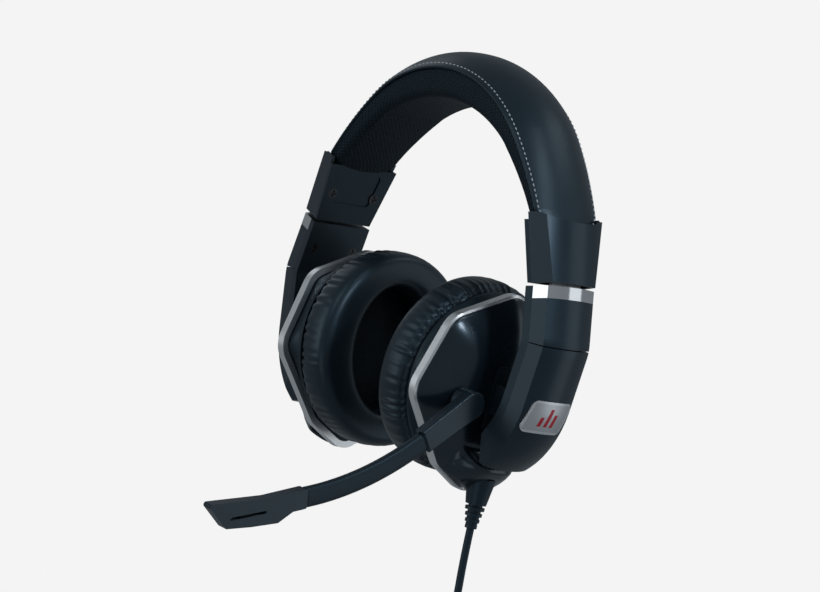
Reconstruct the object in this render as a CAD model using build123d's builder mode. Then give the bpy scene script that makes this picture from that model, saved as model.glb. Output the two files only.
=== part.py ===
"""Wired over-ear gaming headset with a boom microphone.

Millimetres. The wearer faces -Y, the wearer's left is +X, and +Z is up. The origin is the
middle of the crown pad's underside, where a head or a hook carries the headset.
"""

import os
from math import cos, degrees, pi, radians, sin, tan

from build123d import *

# ---- headband: arcs in the XZ plane, measured along the seam of the top cover
SEAM_RISE = 13.8  # seam above the crown pad's underside
CROWN_BULGE = 8.7  # top of the cover above the seam, at the crown
SHOULDER_BULGE = 7.5  # the same at the shoulders
SIDE_BULGE = 4.2  # the same where the band nears a sleeve
END_BULGE = 2.7  # the same inside the sleeve
CROWN_RADIUS = 64.0
CROWN_ANGLE = 47.0
SIDE_RADIUS = 165.0
SIDE_ANGLE = 61.8
ENTRY_RADIUS = 40.0
BAND_WIDTH = 42.8
BAND_END_WIDTH = 28.6
PAD_WIDTH = 40.2
NARROWING = 3.2  # each side of the band is this much wider just above the sleeve
NARROWING_RISE = 6.0
PAD_SHOULDER_THICKNESS = 9.6
PAD_SIDE_THICKNESS = 6.0
PAD_END_THICKNESS = 4.0
PAD_ROUNDING = 4.0
SPRING_THICKNESS = 1.0
SPRING_WIDTH = 16.0
SPRING_DEPTH = 2.4  # below the seam

# ---- sleeves: the hard caps over the band's ends
SPLAY = 14.1  # sleeve and slider lean outwards from vertical
SLEEVE_INSET = 7.658  # inner face of the sleeve, inwards from the end of the band's seam
SLEEVE_BELOW_BAND = 17.39  # foot of the sleeve, below the end of the band's seam
SLEEVE_HEIGHT = 27.6
SLEEVE_SCREW_HEIGHT = 13.4
SCREW_FROM_STRAP = 0.95  # between the strap's slot and a screw boss
SCREW_BOSS = (4.6, 5.0)
RIDGE_ROUNDING = 1.2
MOUTH_EDGE = 1.8  # the scoop in the rim stops this far from each side
PLATE_RECESS = (25.0, 15.5, 96.0)
PLATE_RECESS_RISE = 3.0
RECESS_ROUNDING = 2.0
SLEEVE_FOOT_WIDTH = 33.2
SLEEVE_MOUTH_WIDTH = 40.2
SLEEVE_DEPTH = 14.5
SIDE_DRAFT = 0.282  # width lost on each side per millimetre outwards
FACE_BULGE_RADIUS = 43.5
RIM_EXTRA = 3.2  # the outer rim stands above the inner plate
RIM_DIP = 3.6
INNER_PLATE = 2.0
WALL = 1.8

# ---- slider strap
STRAP_WIDTH = 18.0
STRAP_THICKNESS = 1.5
STRAP_LIFT = 6.0  # inner face of the strap above the sleeve's inner face
STRAP_UP = 33.0
STRAP_DOWN = 20.0
SLIDE_CLEARANCE = 0.35
SLOT_END_GAP = 1.0
STRAP_ROUNDING = 2.5
DETENT_PITCH = 3.5
DETENT_COUNT = 8
DETENT_RADIUS = 1.0

# ---- arm: a curved hollow limb that follows a path in the XZ plane
# its corners are from the sleeve's foot
ARM_TOP_FROM_FOOT = (14.4, -2.0)
ARM_ELBOW_FROM_FOOT = (18.9, -25.0)
ARM_BEND_FROM_FOOT = (11.8, -73.4)
ARM_TOE_FROM_FOOT = (-14.9, -93.5)
ARM_OVERRUN = 6.0  # the path starts this far above the arm's top
ARM_SHOULDER = 8.0  # below the pivot, where the arm begins to narrow
ARM_FROM_CUP = 19.5  # nearest the arm comes to the cup's trim plane
ELBOW_RADIUS = 22.0
BEND_RADIUS = 50.0
ARM_DEPTH = 14.0
ARM_WIDTH = 34.4
RIDGE_WIDTH = 28.4
RIDGE_DROP = 3.0
ARM_TOE_WIDTH = 25.0
SEAM_DEPTH = 10.3  # where the inner cover meets the outer ones
PANEL_GAP = 0.5
SLEEVE_GAP = 1.4
ARM_SCREW_DROP = 9.0
ARM_SCREW_FROM_STRAP = 2.7
RECESS_DEPTH = 0.6
CHROME_HEIGHT = 5.5
CHROME_THICKNESS = 0.8

# ---- badge on the arm, over the pivot
BADGE_WIDTH = 24.0
BADGE_HEIGHT = 15.0
BADGE_SLANT = 3.0
BADGE_THICKNESS = 1.2
BADGE_PROUD = 0.5
BADGE_ROUNDING = 3.0
BADGE_CLEARANCE = 0.15
BADGE_BELOW_PIVOT = 0.5

# ---- cup pivot
PIVOT_FROM_FOOT = (2.6, -56.0)
SWIVEL_LIMIT = 8.0
BLOCK_CHAMFER = 1.0
BLOCK_SIZE = (8.0, 12.0, 12.0)
TRUNNION_RADIUS = 2.0
TILT_PIN_RADIUS = 1.5
RUNNING_CLEARANCE = 0.05
WINDOW_HALF = (11.5, 10.0)
EAR_THICKNESS = 3.0
EAR_GAP = 0.4
EAR_RADIUS = 4.2
EAR_FOOT = 7.0
BRACKET_BASE = (20.0, 30.0)
BRACKET_THICKNESS = 2.0
BRACKET_ROUNDING = 3.0
LUG_THICKNESS = 3.0
LUG_GAP = 0.4
LUG_NOSE = 1.5  # lug material inwards of the trunnion
TOE_RADIUS = 29.0  # arm's end about the pivot
TOE_CLEARANCE = 1.6

# ---- ear cup, in its own leaning frame
CUP_FROM_PIVOT = (-28.9, 1.16)
CUP_LEAN = 4.58
OUTLINE = ((0, 47.5), (34.5, 33.5), (47.5, -1.5), (21.0, -34.5), (0, -46.0))
OUTLINE_ROUNDING = 12.0
TRIM_WIDTH = 3.0
TRIM_DEPTH = 4.4
TRIM_CHAMFER = 0.8
SHELL_FOOT = 2.2
SHELL_INSET = 1.2
SHELL_TOP = 11.0
SHELL_TAPER = 40.0
SHELL_CREST_RADIUS = 5.0
SHELL_WALL = 2.0
CHIN_WIDTH = 28.0
CHIN_ROUNDING = 4.0
CHIN_PROFILE = (
    (2.2, -43.6),
    (10.0, -40.2),
    (17.5, -34.0),
    (22.5, -26.5),
    (16.0, -22.0),
    (2.2, -22.0),
)
RIM_DEPTH = 7.0
RIM_RADIUS = 41.0
CUSHION_RADIUS = 45.0
CUSHION_RISE = 3.9
CUSHION_THICKNESS = 20.0
CUSHION_ROUNDING = 7.5
EAR_HOLE = (45.0, 57.0)
MOUNT_RING_THICKNESS = 1.6
DRIVER_RADIUS = 25.0
DRIVER_LIP = 3.5
DRIVER_SEAT = 2.5  # how far the baffle reaches in over the driver's edge
DRIVER_HEIGHT = 3.0
DRIVER_BACK = 1.4
DIAPHRAGM_THICKNESS = 0.3
DIAPHRAGM_DIP = 1.2
BAFFLE_CLEARANCE = 0.6
EAR_HOLE_SEAT = 1.0  # how far the ring and the cloth reach past the ear hole's edge
CLOTH_THICKNESS = 0.8
MAGNET_RADIUS = 10.0
MAGNET_HEIGHT = 3.0

# ---- microphone
BOSS_AT = (-25.8, -1.5)
BOSS_RADIUS = 6.0
BOSS_NECK = 4.0
BOSS_TOP = 15.0
AXLE_RADIUS = 2.4
BOOM_GAP = 0.3
BOOM_THICKNESS = 5.0
HUB_RADIUS = 6.3
LINK_HEIGHT = 11.2
LINK_LENGTH = 29.0
LINK_ANGLE = 40.0
FLEX_HEIGHT = 9.2
FLEX_INSET = 0.4
FLEX_RADIUS = 148.0
CAPSULE_ANGLE = 14.0
CAPSULE_PROFILE = (
    (0, 4.6),
    (22, 3.9),
    (54.5, 6.3),
    (43.8, -6.3),
    (30, -7.7),
    (15.5, -8.4),
    (7.5, -4.6),
    (0, -4.4),
)
CAPSULE_ROUNDING = 1.2
LINK_ROUNDING = 0.9
AXLE_CAP = 1.0  # boom material over the axle's end
MIC_ROOM = (26.0, 7.0)
MIC_ROOM_AT = (26.0, -1.5)  # along and across the capsule
MIC_WALL = 1.2
MIC_SLOT = (20.0, 1.3)
MIC_SLOT_AT = (32.0, -2.2)
MIC_ELEMENT_RADIUS = 3.0
FLEX_JOINT_GAP = 0.7

# ---- cord
CORD_DIAMETER = 3.5
RELIEF_FROM_CUP = (7.4, -40.16)
COLLAR_LENGTH = 8.0
COLLAR_RADIUS = 6.7
COLLAR_TAPER = 2.0
RELIEF_LENGTH = 19.0
RIB_COUNT = 4
RIB_RADIUS = 4.4
RIB_STEP = 0.55  # each rib's radius is this much less than the last one's
RELIEF_WALL = 1.0
LEAD_RUNS = ((0.0, 0.0, 0.0), (0.0, 0.0, -16.0), (0.6, 0.8, -36.0), (0.2, 0.4, -55.0))
COIL_DIAMETER = 53.0
COIL_SECTION = 14.0
COIL_EDGE = 2.0
TAIL_RUNS = ((0.0, 0.0, 0.0), (0.8, 0.7, -15.0), (0.0, 0.0, -30.0))
PLUG_RADIUS = 4.6
PLUG_WALL = 1.0
PLUG_ROUNDING = 0.8
PLUG_TAPER = 6.0
TIE_WIDTH = 10.0
TIE_WALL = 1.5
TIE_ROUNDING = 5.5
PLUG_BODY_LENGTH = 22.0
JACK_RADIUS = 1.75
JACK_LENGTH = 14.0
JACK_COLLAR = (2.65, 0.8)
JACK_POINT = 0.9

# ---- fasteners
SCREW_HEAD_RADIUS = 2.4
SCREW_HEAD_HEIGHT = 1.2
SCREW_SHANK_RADIUS = 1.1
SCREW_LENGTH = 7.0
CROSS_SLOT = (3.8, 0.7)



def mirrored(point):
    return (-point[0], point[1])


def band_point(angle, lift):
    """Point (x, z) of the band at an angle from the crown, at a height above the seam."""
    x, z, radius = 0.0, SEAM_RISE - CROWN_RADIUS, CROWN_RADIUS
    for stop, next_radius in ((CROWN_ANGLE, SIDE_RADIUS), (SIDE_ANGLE, ENTRY_RADIUS)):
        if angle <= stop:
            break
        turn = radians(stop)
        x += (radius - next_radius) * sin(turn)
        z += (radius - next_radius) * cos(turn)
        radius = next_radius
    turn = radians(angle)
    return (x + (radius + lift) * sin(turn), z + (radius + lift) * cos(turn))


# ---- frames of reference on the wearer's left
LEAN = radians(SPLAY)
SLEEVE_OUT = Vector(cos(LEAN), 0, sin(LEAN))
SLEEVE_UP = Vector(-sin(LEAN), 0, cos(LEAN))
BAND_END_ANGLE = 90.0 - SPLAY
band_end_x, band_end_z = band_point(BAND_END_ANGLE, 0.0)
SLEEVE_FOOT = Vector(band_end_x, 0, band_end_z) - SLEEVE_OUT * SLEEVE_INSET - SLEEVE_UP * SLEEVE_BELOW_BAND


def from_foot(offset):
    """Point (x, z) at an offset from the sleeve's foot."""
    return (SLEEVE_FOOT.X + offset[0], SLEEVE_FOOT.Z + offset[1])


ARM_TOP = from_foot(ARM_TOP_FROM_FOOT)
ARM_ELBOW = from_foot(ARM_ELBOW_FROM_FOOT)
ARM_BEND = from_foot(ARM_BEND_FROM_FOOT)
ARM_TOE = from_foot(ARM_TOE_FROM_FOOT)
PIVOT_X, PIVOT_Z = from_foot(PIVOT_FROM_FOOT)
CUP_X, CUP_Z = PIVOT_X + CUP_FROM_PIVOT[0], PIVOT_Z + CUP_FROM_PIVOT[1]
RELIEF_X, RELIEF_TOP = CUP_X + RELIEF_FROM_CUP[0], CUP_Z + RELIEF_FROM_CUP[1]
sleeve_face = Plane(origin=SLEEVE_FOOT, x_dir=(0, 1, 0), z_dir=SLEEVE_OUT)
CUP_TILT = radians(CUP_LEAN)
CUP_OUT = Vector(cos(CUP_TILT), 0, -sin(CUP_TILT))
cup_face = Plane(origin=(CUP_X, 0, CUP_Z), x_dir=(0, 1, 0), z_dir=CUP_OUT)
cup_side = Plane(origin=(CUP_X, 0, CUP_Z), x_dir=CUP_OUT, z_dir=(0, -1, 0))
PIVOT = Vector(PIVOT_X, 0, PIVOT_Z)
FAR = 300.0
TOUCH = 0.1  # how near counts as being on a line or a face

os.makedirs("parts", exist_ok=True)


def save(piece, name):
    piece.label = name
    export_step(piece, f"parts/{name}.step")


def save_pair(piece, name):
    """The same piece on both sides, one the mirror image of the other."""
    save(piece, f"left_{name}")
    save(mirror(piece, about=Plane.YZ), f"right_{name}")


# ================================================================ sleeves


def sleeve_block(inset, low=0.0, high=RIM_EXTRA):
    """The sleeve's outer form, or that form with every wall inset and the ends moved."""

    def half_width(base, out):
        return base / 2 - SIDE_DRAFT * out - inset

    lean = (SLEEVE_MOUTH_WIDTH - SLEEVE_FOOT_WIDTH) / 2 / SLEEVE_HEIGHT
    top = SLEEVE_HEIGHT + high
    with BuildPart() as block:
        for out in (inset, SLEEVE_DEPTH + 1.0):
            foot = half_width(SLEEVE_FOOT_WIDTH, out) + lean * low
            mouth = half_width(SLEEVE_FOOT_WIDTH, out) + lean * top
            with BuildSketch(sleeve_face.offset(out)):
                Polygon((-foot, low), (foot, low), (mouth, top), (-mouth, top), align=None)
        loft(ruled=True)
        bulge_axis = sleeve_face.offset(SLEEVE_DEPTH - FACE_BULGE_RADIUS)
        rod = Plane(origin=bulge_axis.origin, x_dir=(0, 1, 0), z_dir=sleeve_face.y_dir)
        with BuildSketch(rod.offset(-FAR / 2), mode=Mode.PRIVATE) as face_arc:
            Circle(FACE_BULGE_RADIUS - inset)
        extrude(face_arc.sketch, amount=FAR, mode=Mode.INTERSECT)
    return block.part


def slab(plane, low, high):
    """Everything between two heights over a plane."""
    with BuildPart() as layer:
        with BuildSketch(plane.offset(low)):
            Rectangle(FAR, FAR)
        extrude(amount=high - low)
    return layer.part


SCREW_Y = STRAP_WIDTH / 2 + SLIDE_CLEARANCE + SCREW_BOSS[0] / 2 + SCREW_FROM_STRAP
plate_layer = slab(sleeve_face, -1.0, INNER_PLATE)
sleeve_cavity = sleeve_block(WALL, low=-1.0, high=2 * RIM_EXTRA)


def screw_pair(plane, half_spacing, height):
    """Two pan-head screws, heads sunk flush in the plane's face, shanks along its normal."""
    with BuildPart() as screws:
        with BuildSketch(plane):
            with Locations((-half_spacing, height), (half_spacing, height)):
                Circle(SCREW_HEAD_RADIUS)
        extrude(amount=SCREW_HEAD_HEIGHT)
        with BuildSketch(plane):
            with Locations((-half_spacing, height), (half_spacing, height)):
                Circle(SCREW_SHANK_RADIUS)
        extrude(amount=SCREW_LENGTH)
        with BuildSketch(plane):
            with Locations((-half_spacing, height), (half_spacing, height)):
                SlotOverall(*CROSS_SLOT)
                SlotOverall(*CROSS_SLOT, rotation=90)
        extrude(amount=SCREW_HEAD_HEIGHT / 2, mode=Mode.SUBTRACT)
    return screws.part


def screw_room(plane, half_spacing, height):
    """What the two screws take out of the pieces they pass."""
    with BuildPart() as room:
        for radius, depth in ((SCREW_HEAD_RADIUS, SCREW_HEAD_HEIGHT), (SCREW_SHANK_RADIUS, SCREW_LENGTH)):
            with BuildSketch(plane):
                with Locations((-half_spacing, height), (half_spacing, height)):
                    Circle(radius)
            extrude(amount=depth)
    return room.part


sleeve_room = screw_room(sleeve_face, SCREW_Y, SLEEVE_SCREW_HEIGHT)
with BuildPart() as sleeve_screws:
    add(screw_pair(sleeve_face, SCREW_Y, SLEEVE_SCREW_HEIGHT))
    mirror(about=Plane.YZ)
save(sleeve_screws.part, "sleeve_screws")

with BuildPart() as sleeve_shell:
    add(sleeve_block(0.0))
    ridges = sleeve_shell.edges().filter_by(lambda e: e.length > SLEEVE_HEIGHT)
    outer_ridges = ridges.group_by(Axis(sleeve_face.origin, SLEEVE_OUT))[-1]
    fillet(outer_ridges, RIDGE_ROUNDING)
    with BuildSketch(sleeve_face.offset(INNER_PLATE)):
        with Locations((0, SLEEVE_HEIGHT + RIM_EXTRA)):
            Ellipse(SLEEVE_MOUTH_WIDTH / 2 - MOUTH_EDGE, RIM_DIP)
    extrude(amount=SLEEVE_DEPTH, mode=Mode.SUBTRACT)
    add(sleeve_cavity, mode=Mode.SUBTRACT)
    add(plate_layer, mode=Mode.SUBTRACT)
    with BuildSketch(sleeve_face.offset(INNER_PLATE)):
        with Locations((-SCREW_Y, SLEEVE_SCREW_HEIGHT), (SCREW_Y, SLEEVE_SCREW_HEIGHT)):
            Rectangle(*SCREW_BOSS)
    extrude(amount=SLEEVE_DEPTH / 2)
    add(sleeve_block(0.0), mode=Mode.INTERSECT)
    add(sleeve_room, mode=Mode.SUBTRACT)
save_pair(sleeve_shell.part, "sleeve_shell")

with BuildPart() as sleeve_plate:
    add(sleeve_block(0.0, high=0.0))
    add(plate_layer, mode=Mode.INTERSECT)
    with BuildSketch(sleeve_face) as recess:
        with Locations((0, SLEEVE_HEIGHT / 2 + PLATE_RECESS_RISE)):
            Trapezoid(*PLATE_RECESS)
        fillet(recess.vertices(), RECESS_ROUNDING)
    extrude(amount=RECESS_DEPTH, mode=Mode.SUBTRACT)
    add(sleeve_room, mode=Mode.SUBTRACT)
save_pair(sleeve_plate.part, "sleeve_plate")

with BuildPart() as slider_strap:
    with BuildSketch(sleeve_face.offset(STRAP_LIFT)) as strap:
        with Locations((0, (STRAP_UP - STRAP_DOWN) / 2)):
            Rectangle(STRAP_WIDTH, STRAP_UP + STRAP_DOWN)
        fillet(strap.vertices(), STRAP_ROUNDING)
        detents = [(0, STRAP_UP - DETENT_PITCH * (n + 1.5)) for n in range(DETENT_COUNT)]
        with Locations(*detents):
            Circle(DETENT_RADIUS, mode=Mode.SUBTRACT)
    extrude(amount=STRAP_THICKNESS)
save_pair(slider_strap.part, "slider_strap")


# ================================================================ headband


BAND_ANGLES = (0.0, CROWN_ANGLE, SIDE_ANGLE, BAND_END_ANGLE)
SEAM = (0.0, 0.0, 0.0, 0.0)
TOP = (CROWN_BULGE, SHOULDER_BULGE, SIDE_BULGE, END_BULGE)
UNDERSIDE = (-SEAM_RISE, -PAD_SHOULDER_THICKNESS, -PAD_SIDE_THICKNESS, -PAD_END_THICKNESS)
SPRING_TOP = (-SPRING_DEPTH,) * 4
SPRING_BOTTOM = (-SPRING_DEPTH - SPRING_THICKNESS,) * 4


def band_arc(lifts):
    """Tangent arcs from one end of the band over the crown to the other; call it in a BuildLine."""
    crown, shoulder, side, end = (band_point(a, s) for a, s in zip(BAND_ANGLES, lifts))
    arch = ThreePointArc(mirrored(shoulder), crown, shoulder)
    right = TangentArc(shoulder, side, tangent=arch % 1)
    TangentArc(side, end, tangent=right % 1)
    left = TangentArc(mirrored(shoulder), mirrored(side), tangent=-(arch % 0))
    TangentArc(mirrored(side), mirrored(end), tangent=left % 1)
    return end


def band_slab(low, high, width):
    """Solid between two curves of the band, as wide as asked."""
    with BuildPart() as layer:
        with BuildSketch(Plane.XZ):
            with BuildLine():
                low_end = band_arc(low)
                high_end = band_arc(high)
                Line(low_end, high_end)
                Line(mirrored(low_end), mirrored(high_end))
            make_face()
        extrude(amount=width / 2, both=True)
    return layer.part


def band_outline():
    """The band narrows from the crown to its ends inside the sleeves."""
    mouth = SLEEVE_FOOT.Z + SLEEVE_HEIGHT
    half, end_half = BAND_WIDTH / 2, BAND_END_WIDTH / 2
    above = (end_half + NARROWING, mouth + NARROWING_RISE)
    right = [(half, FAR), (half, 0), above, (end_half, mouth), (end_half, -FAR)]
    with BuildPart() as kept:
        with BuildSketch(Plane.YZ):
            Polygon(*right, *[mirrored(p) for p in reversed(right)], align=None)
        extrude(amount=FAR, both=True)
    return kept.part


def strap_slots():
    """Room for both slider straps inside the band's ends."""
    height = STRAP_UP + SLOT_END_GAP
    with BuildPart() as room:
        with BuildSketch(sleeve_face.offset(STRAP_LIFT - SLIDE_CLEARANCE)):
            with Locations((0, height / 2)):
                Rectangle(STRAP_WIDTH + 2 * SLIDE_CLEARANCE, height)
        extrude(amount=STRAP_THICKNESS + 2 * SLIDE_CLEARANCE)
        mirror(about=Plane.YZ)
    return room.part


narrowing = band_outline()
slots = strap_slots()
with BuildPart() as sleeve_grip:
    add(sleeve_block(0.0))
    add(slab(sleeve_face, INNER_PLATE, FAR) & sleeve_cavity, mode=Mode.SUBTRACT)
    mirror(about=Plane.YZ)
below_top = band_slab(SEAM, TOP, 2 * BAND_WIDTH)

with BuildPart() as headband_cover:
    with BuildLine(Plane.XZ) as seam_line:
        band_arc(SEAM)
    seam = seam_line.wire()
    with BuildSketch(Plane(origin=seam @ 0, x_dir=(0, 1, 0), z_dir=seam % 0)):
        with BuildLine():
            ThreePointArc((-BAND_WIDTH / 2, 0), (0, CROWN_BULGE), (BAND_WIDTH / 2, 0))
            Line((BAND_WIDTH / 2, 0), (-BAND_WIDTH / 2, 0))
        make_face()
    sweep(path=seam)
    add(below_top, mode=Mode.INTERSECT)
    add(narrowing, mode=Mode.INTERSECT)
    add(slots, mode=Mode.SUBTRACT)
    add(sleeve_grip.part, mode=Mode.SUBTRACT)
save(headband_cover.part, "headband_cover")


spring_room = band_slab(SPRING_BOTTOM, SPRING_TOP, SPRING_WIDTH)
crown_centre = Vector(0, 0, SEAM_RISE - CROWN_RADIUS)
with BuildPart() as headband_pad:
    add(band_slab(UNDERSIDE, SEAM, PAD_WIDTH))
    curved = headband_pad.faces().filter_by(GeomType.CYLINDER)
    facing_in = curved.filter_by(lambda f: f.normal_at().dot(f.center() - crown_centre) < 0)
    sides = facing_in.edges().filter_by(lambda e: abs(abs(e.center().Y) - PAD_WIDTH / 2) < TOUCH)
    fillet(sides, PAD_ROUNDING)
    add(narrowing, mode=Mode.INTERSECT)
    add(slots, mode=Mode.SUBTRACT)
    add(spring_room, mode=Mode.SUBTRACT)
    add(sleeve_grip.part, mode=Mode.SUBTRACT)
save(headband_pad.part, "headband_pad")

with BuildPart() as spring_band:
    add(spring_room)
save(spring_band.part, "spring_band")


# ================================================================ arms


def arm_path():
    """The arm's outermost line, from above its top to beyond its toe; call it in a BuildLine."""
    top, elbow = Vector(*ARM_TOP), Vector(*ARM_ELBOW)
    start = top + (top - elbow).normalized() * ARM_OVERRUN
    return FilletPolyline(
        (start.X, start.Y), ARM_ELBOW, ARM_BEND, ARM_TOE, radius=[ELBOW_RADIUS, BEND_RADIUS]
    )


def arm_sweep(inset, depth=ARM_DEPTH, spare=0.0):
    """The arm's section, walls inset, swept along its path; depth is how far in it reaches."""
    wide, narrow = ARM_WIDTH / 2 - inset + spare, RIDGE_WIDTH / 2 - inset + spare
    with BuildPart() as limb:
        with BuildLine(Plane.XZ) as line:
            arm_path()
        path = line.wire()
        with BuildSketch(Plane(origin=path @ 0, x_dir=(0, 1, 0), z_dir=path % 0)):
            with BuildLine():
                ThreePointArc((-narrow, -RIDGE_DROP - inset), (0, -inset), (narrow, -RIDGE_DROP - inset))
                Polyline(
                    (narrow, -RIDGE_DROP - inset),
                    (wide, -depth),
                    (-wide, -depth),
                    (-narrow, -RIDGE_DROP - inset),
                )
            make_face()
        sweep(path=path)
    return limb.part


def arm_limits(inset, gap):
    """What an arm keeps: its front view, its top, its toe about the pivot, and the cup's side."""
    half, toe_half = ARM_WIDTH / 2 + 1.0 - inset, ARM_TOE_WIDTH / 2 - inset
    shoulder, toe = PIVOT_Z - ARM_SHOULDER, PIVOT_Z - TOE_RADIUS
    outline = [(-half, FAR), (-half, shoulder), (-toe_half, toe), (-toe_half, -FAR)]
    with BuildPart() as kept:
        with BuildSketch(Plane.YZ):
            Polygon(*outline, *[mirrored(p) for p in reversed(outline)], align=None)
        extrude(amount=FAR)
        add(slab(sleeve_top_plane, -FAR, -SLEEVE_GAP - gap), mode=Mode.INTERSECT)
        add(slab(cup_face, ARM_FROM_CUP + inset, FAR), mode=Mode.INTERSECT)
        add(toe_limit(TOE_RADIUS - inset), mode=Mode.INTERSECT)
    return kept.part


def toe_limit(radius):
    """Everything above the pivot, and only what is within a radius of it below."""
    with BuildPart() as kept:
        with BuildSketch(Plane.XZ.offset(-FAR / 2)):
            with Locations((PIVOT_X, PIVOT_Z)):
                Circle(radius)
            with Locations((PIVOT_X, PIVOT_Z + FAR / 2)):
                Rectangle(FAR, FAR)
        extrude(amount=FAR)
    return kept.part


sleeve_top_plane = Plane(sleeve_face.origin, x_dir=(0, 1, 0), z_dir=sleeve_face.y_dir)


def arm_block(inset, gap=0.0):
    with BuildPart() as block:
        add(arm_sweep(inset, ARM_DEPTH - inset))
        add(arm_limits(inset, gap), mode=Mode.INTERSECT)
    return block.part


top_to_elbow = (Vector(*ARM_ELBOW) - Vector(*ARM_TOP)).normalized()
arm_outward = Vector(-top_to_elbow.Y, 0, top_to_elbow.X)


def path_point_inside(drop):
    """Point on the arm's inner face, a distance below its top."""
    at = Vector(*ARM_TOP) + top_to_elbow * drop
    return Vector(at.X, 0, at.Y) - arm_outward * ARM_DEPTH


arm_form = arm_block(0.0)
arm_cavity = arm_block(WALL, gap=WALL)
outer_zone = arm_sweep(0.0, SEAM_DEPTH, spare=4.0)
ELBOW_Z = ARM_ELBOW[1]

with BuildPart() as strap_hole:
    with BuildSketch(sleeve_face.offset(STRAP_LIFT)):
        with Locations((0, -STRAP_DOWN / 2)):
            Rectangle(STRAP_WIDTH, STRAP_DOWN)
    extrude(amount=STRAP_THICKNESS)
arm_shell = arm_form - arm_cavity - strap_hole.part
chrome_layer = arm_form - arm_block(CHROME_THICKNESS)
chrome_zone = slab(sleeve_top_plane, -SLEEVE_GAP - CHROME_HEIGHT, 0.0)
upper_zone = slab(Plane.XY, ELBOW_Z + PANEL_GAP / 2, FAR)
lower_zone = slab(Plane.XY, -FAR, ELBOW_Z - PANEL_GAP / 2)

with BuildPart() as chrome_band:
    add(chrome_layer)
    add(chrome_zone, mode=Mode.INTERSECT)
    add(outer_zone, mode=Mode.INTERSECT)
save_pair(chrome_band.part, "chrome_band")

badge_skin = arm_sweep(-BADGE_PROUD) - arm_sweep(BADGE_THICKNESS - BADGE_PROUD)


def badge_prism(margin):
    half_width, half_height = BADGE_WIDTH / 2, BADGE_HEIGHT / 2
    corners = [
        (-half_width - BADGE_SLANT / 2, -half_height),
        (half_width - BADGE_SLANT / 2, -half_height),
        (half_width + BADGE_SLANT / 2, half_height),
        (-half_width + BADGE_SLANT / 2, half_height),
    ]
    with BuildPart() as prism:
        with BuildSketch(Plane.YZ.offset(PIVOT_X)) as face:
            with Locations((0, PIVOT_Z - BADGE_BELOW_PIVOT)):
                Polygon(*corners, align=None)
            fillet(face.vertices(), BADGE_ROUNDING)
            offset(amount=margin)
        extrude(amount=ARM_DEPTH * 2)
    return prism.part


with BuildPart() as badge:
    add(badge_skin)
    add(badge_prism(0.0), mode=Mode.INTERSECT)
save_pair(badge.part, "badge")

arm_screw_face = Plane(
    origin=path_point_inside(ARM_SCREW_DROP), x_dir=(0, 1, 0), z_dir=arm_outward
)
arm_screw_y = STRAP_WIDTH / 2 + ARM_SCREW_FROM_STRAP
arm_screw_room = screw_room(arm_screw_face, arm_screw_y, 0)
with BuildPart() as arm_upper_cover:
    add(arm_shell)
    add(outer_zone, mode=Mode.INTERSECT)
    add(upper_zone, mode=Mode.INTERSECT)
    add(chrome_band.part, mode=Mode.SUBTRACT)
    add(arm_screw_room, mode=Mode.SUBTRACT)
save_pair(arm_upper_cover.part, "arm_upper_cover")

badge_pocket = badge_prism(BADGE_CLEARANCE) - arm_sweep(BADGE_THICKNESS - BADGE_PROUD)
with BuildPart() as arm_lower_cover:
    add(arm_shell)
    add(outer_zone, mode=Mode.INTERSECT)
    add(lower_zone, mode=Mode.INTERSECT)
    add(badge_pocket, mode=Mode.SUBTRACT)
save_pair(arm_lower_cover.part, "arm_lower_cover")

with BuildPart() as arm_inner_cover:
    add(arm_shell)
    add(outer_zone, mode=Mode.SUBTRACT)
    with BuildSketch(Plane.YZ.offset(PIVOT_X - ARM_DEPTH)):
        with Locations((0, PIVOT_Z)):
            Rectangle(2 * WINDOW_HALF[0], 2 * WINDOW_HALF[1])
    extrude(amount=ARM_DEPTH + 4.0, mode=Mode.SUBTRACT)
    add(arm_screw_room, mode=Mode.SUBTRACT)
save_pair(arm_inner_cover.part, "arm_inner_cover")
save_pair(screw_pair(arm_screw_face, arm_screw_y, 0), "arm_screws")


# ================================================================ pivot behind the badge


def round_bar(start, direction, radius, length):
    with BuildPart() as bar:
        with BuildSketch(Plane(origin=start, z_dir=direction)):
            Circle(radius)
        extrude(amount=length)
    return bar.part


BLOCK_X, BLOCK_Y, BLOCK_Z = BLOCK_SIZE
ear_inner = BLOCK_Y / 2 + EAR_GAP
trunnion_reach = BLOCK_Z / 2 + LUG_GAP + LUG_THICKNESS
ear_reach = BLOCK_Y / 2 + EAR_GAP + EAR_THICKNESS

trunnions = round_bar(
    PIVOT - Vector(0, 0, trunnion_reach), (0, 0, 1), TRUNNION_RADIUS, 2 * trunnion_reach
)
trunnion_bore = round_bar(
    PIVOT - Vector(0, 0, FAR / 2), (0, 0, 1), TRUNNION_RADIUS + RUNNING_CLEARANCE, FAR
)
tilt_axle = round_bar(PIVOT - Vector(0, ear_reach, 0), (0, 1, 0), TILT_PIN_RADIUS, 2 * ear_reach)
tilt_bore = round_bar(
    PIVOT - Vector(0, FAR / 2, 0), (0, 1, 0), TILT_PIN_RADIUS + RUNNING_CLEARANCE, FAR
)

with BuildPart() as pivot_block:
    with BuildSketch(Plane(origin=PIVOT).offset(-BLOCK_Z / 2)):
        Rectangle(BLOCK_X, BLOCK_Y)
    extrude(amount=BLOCK_Z)
    chamfer(pivot_block.edges().filter_by(Axis.Y), BLOCK_CHAMFER)
    add(trunnions)
    add(tilt_bore, mode=Mode.SUBTRACT)
save_pair(pivot_block.part, "pivot_block")

with BuildPart() as tilt_pin:
    add(tilt_axle)
save_pair(tilt_pin.part, "tilt_pin")

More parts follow.
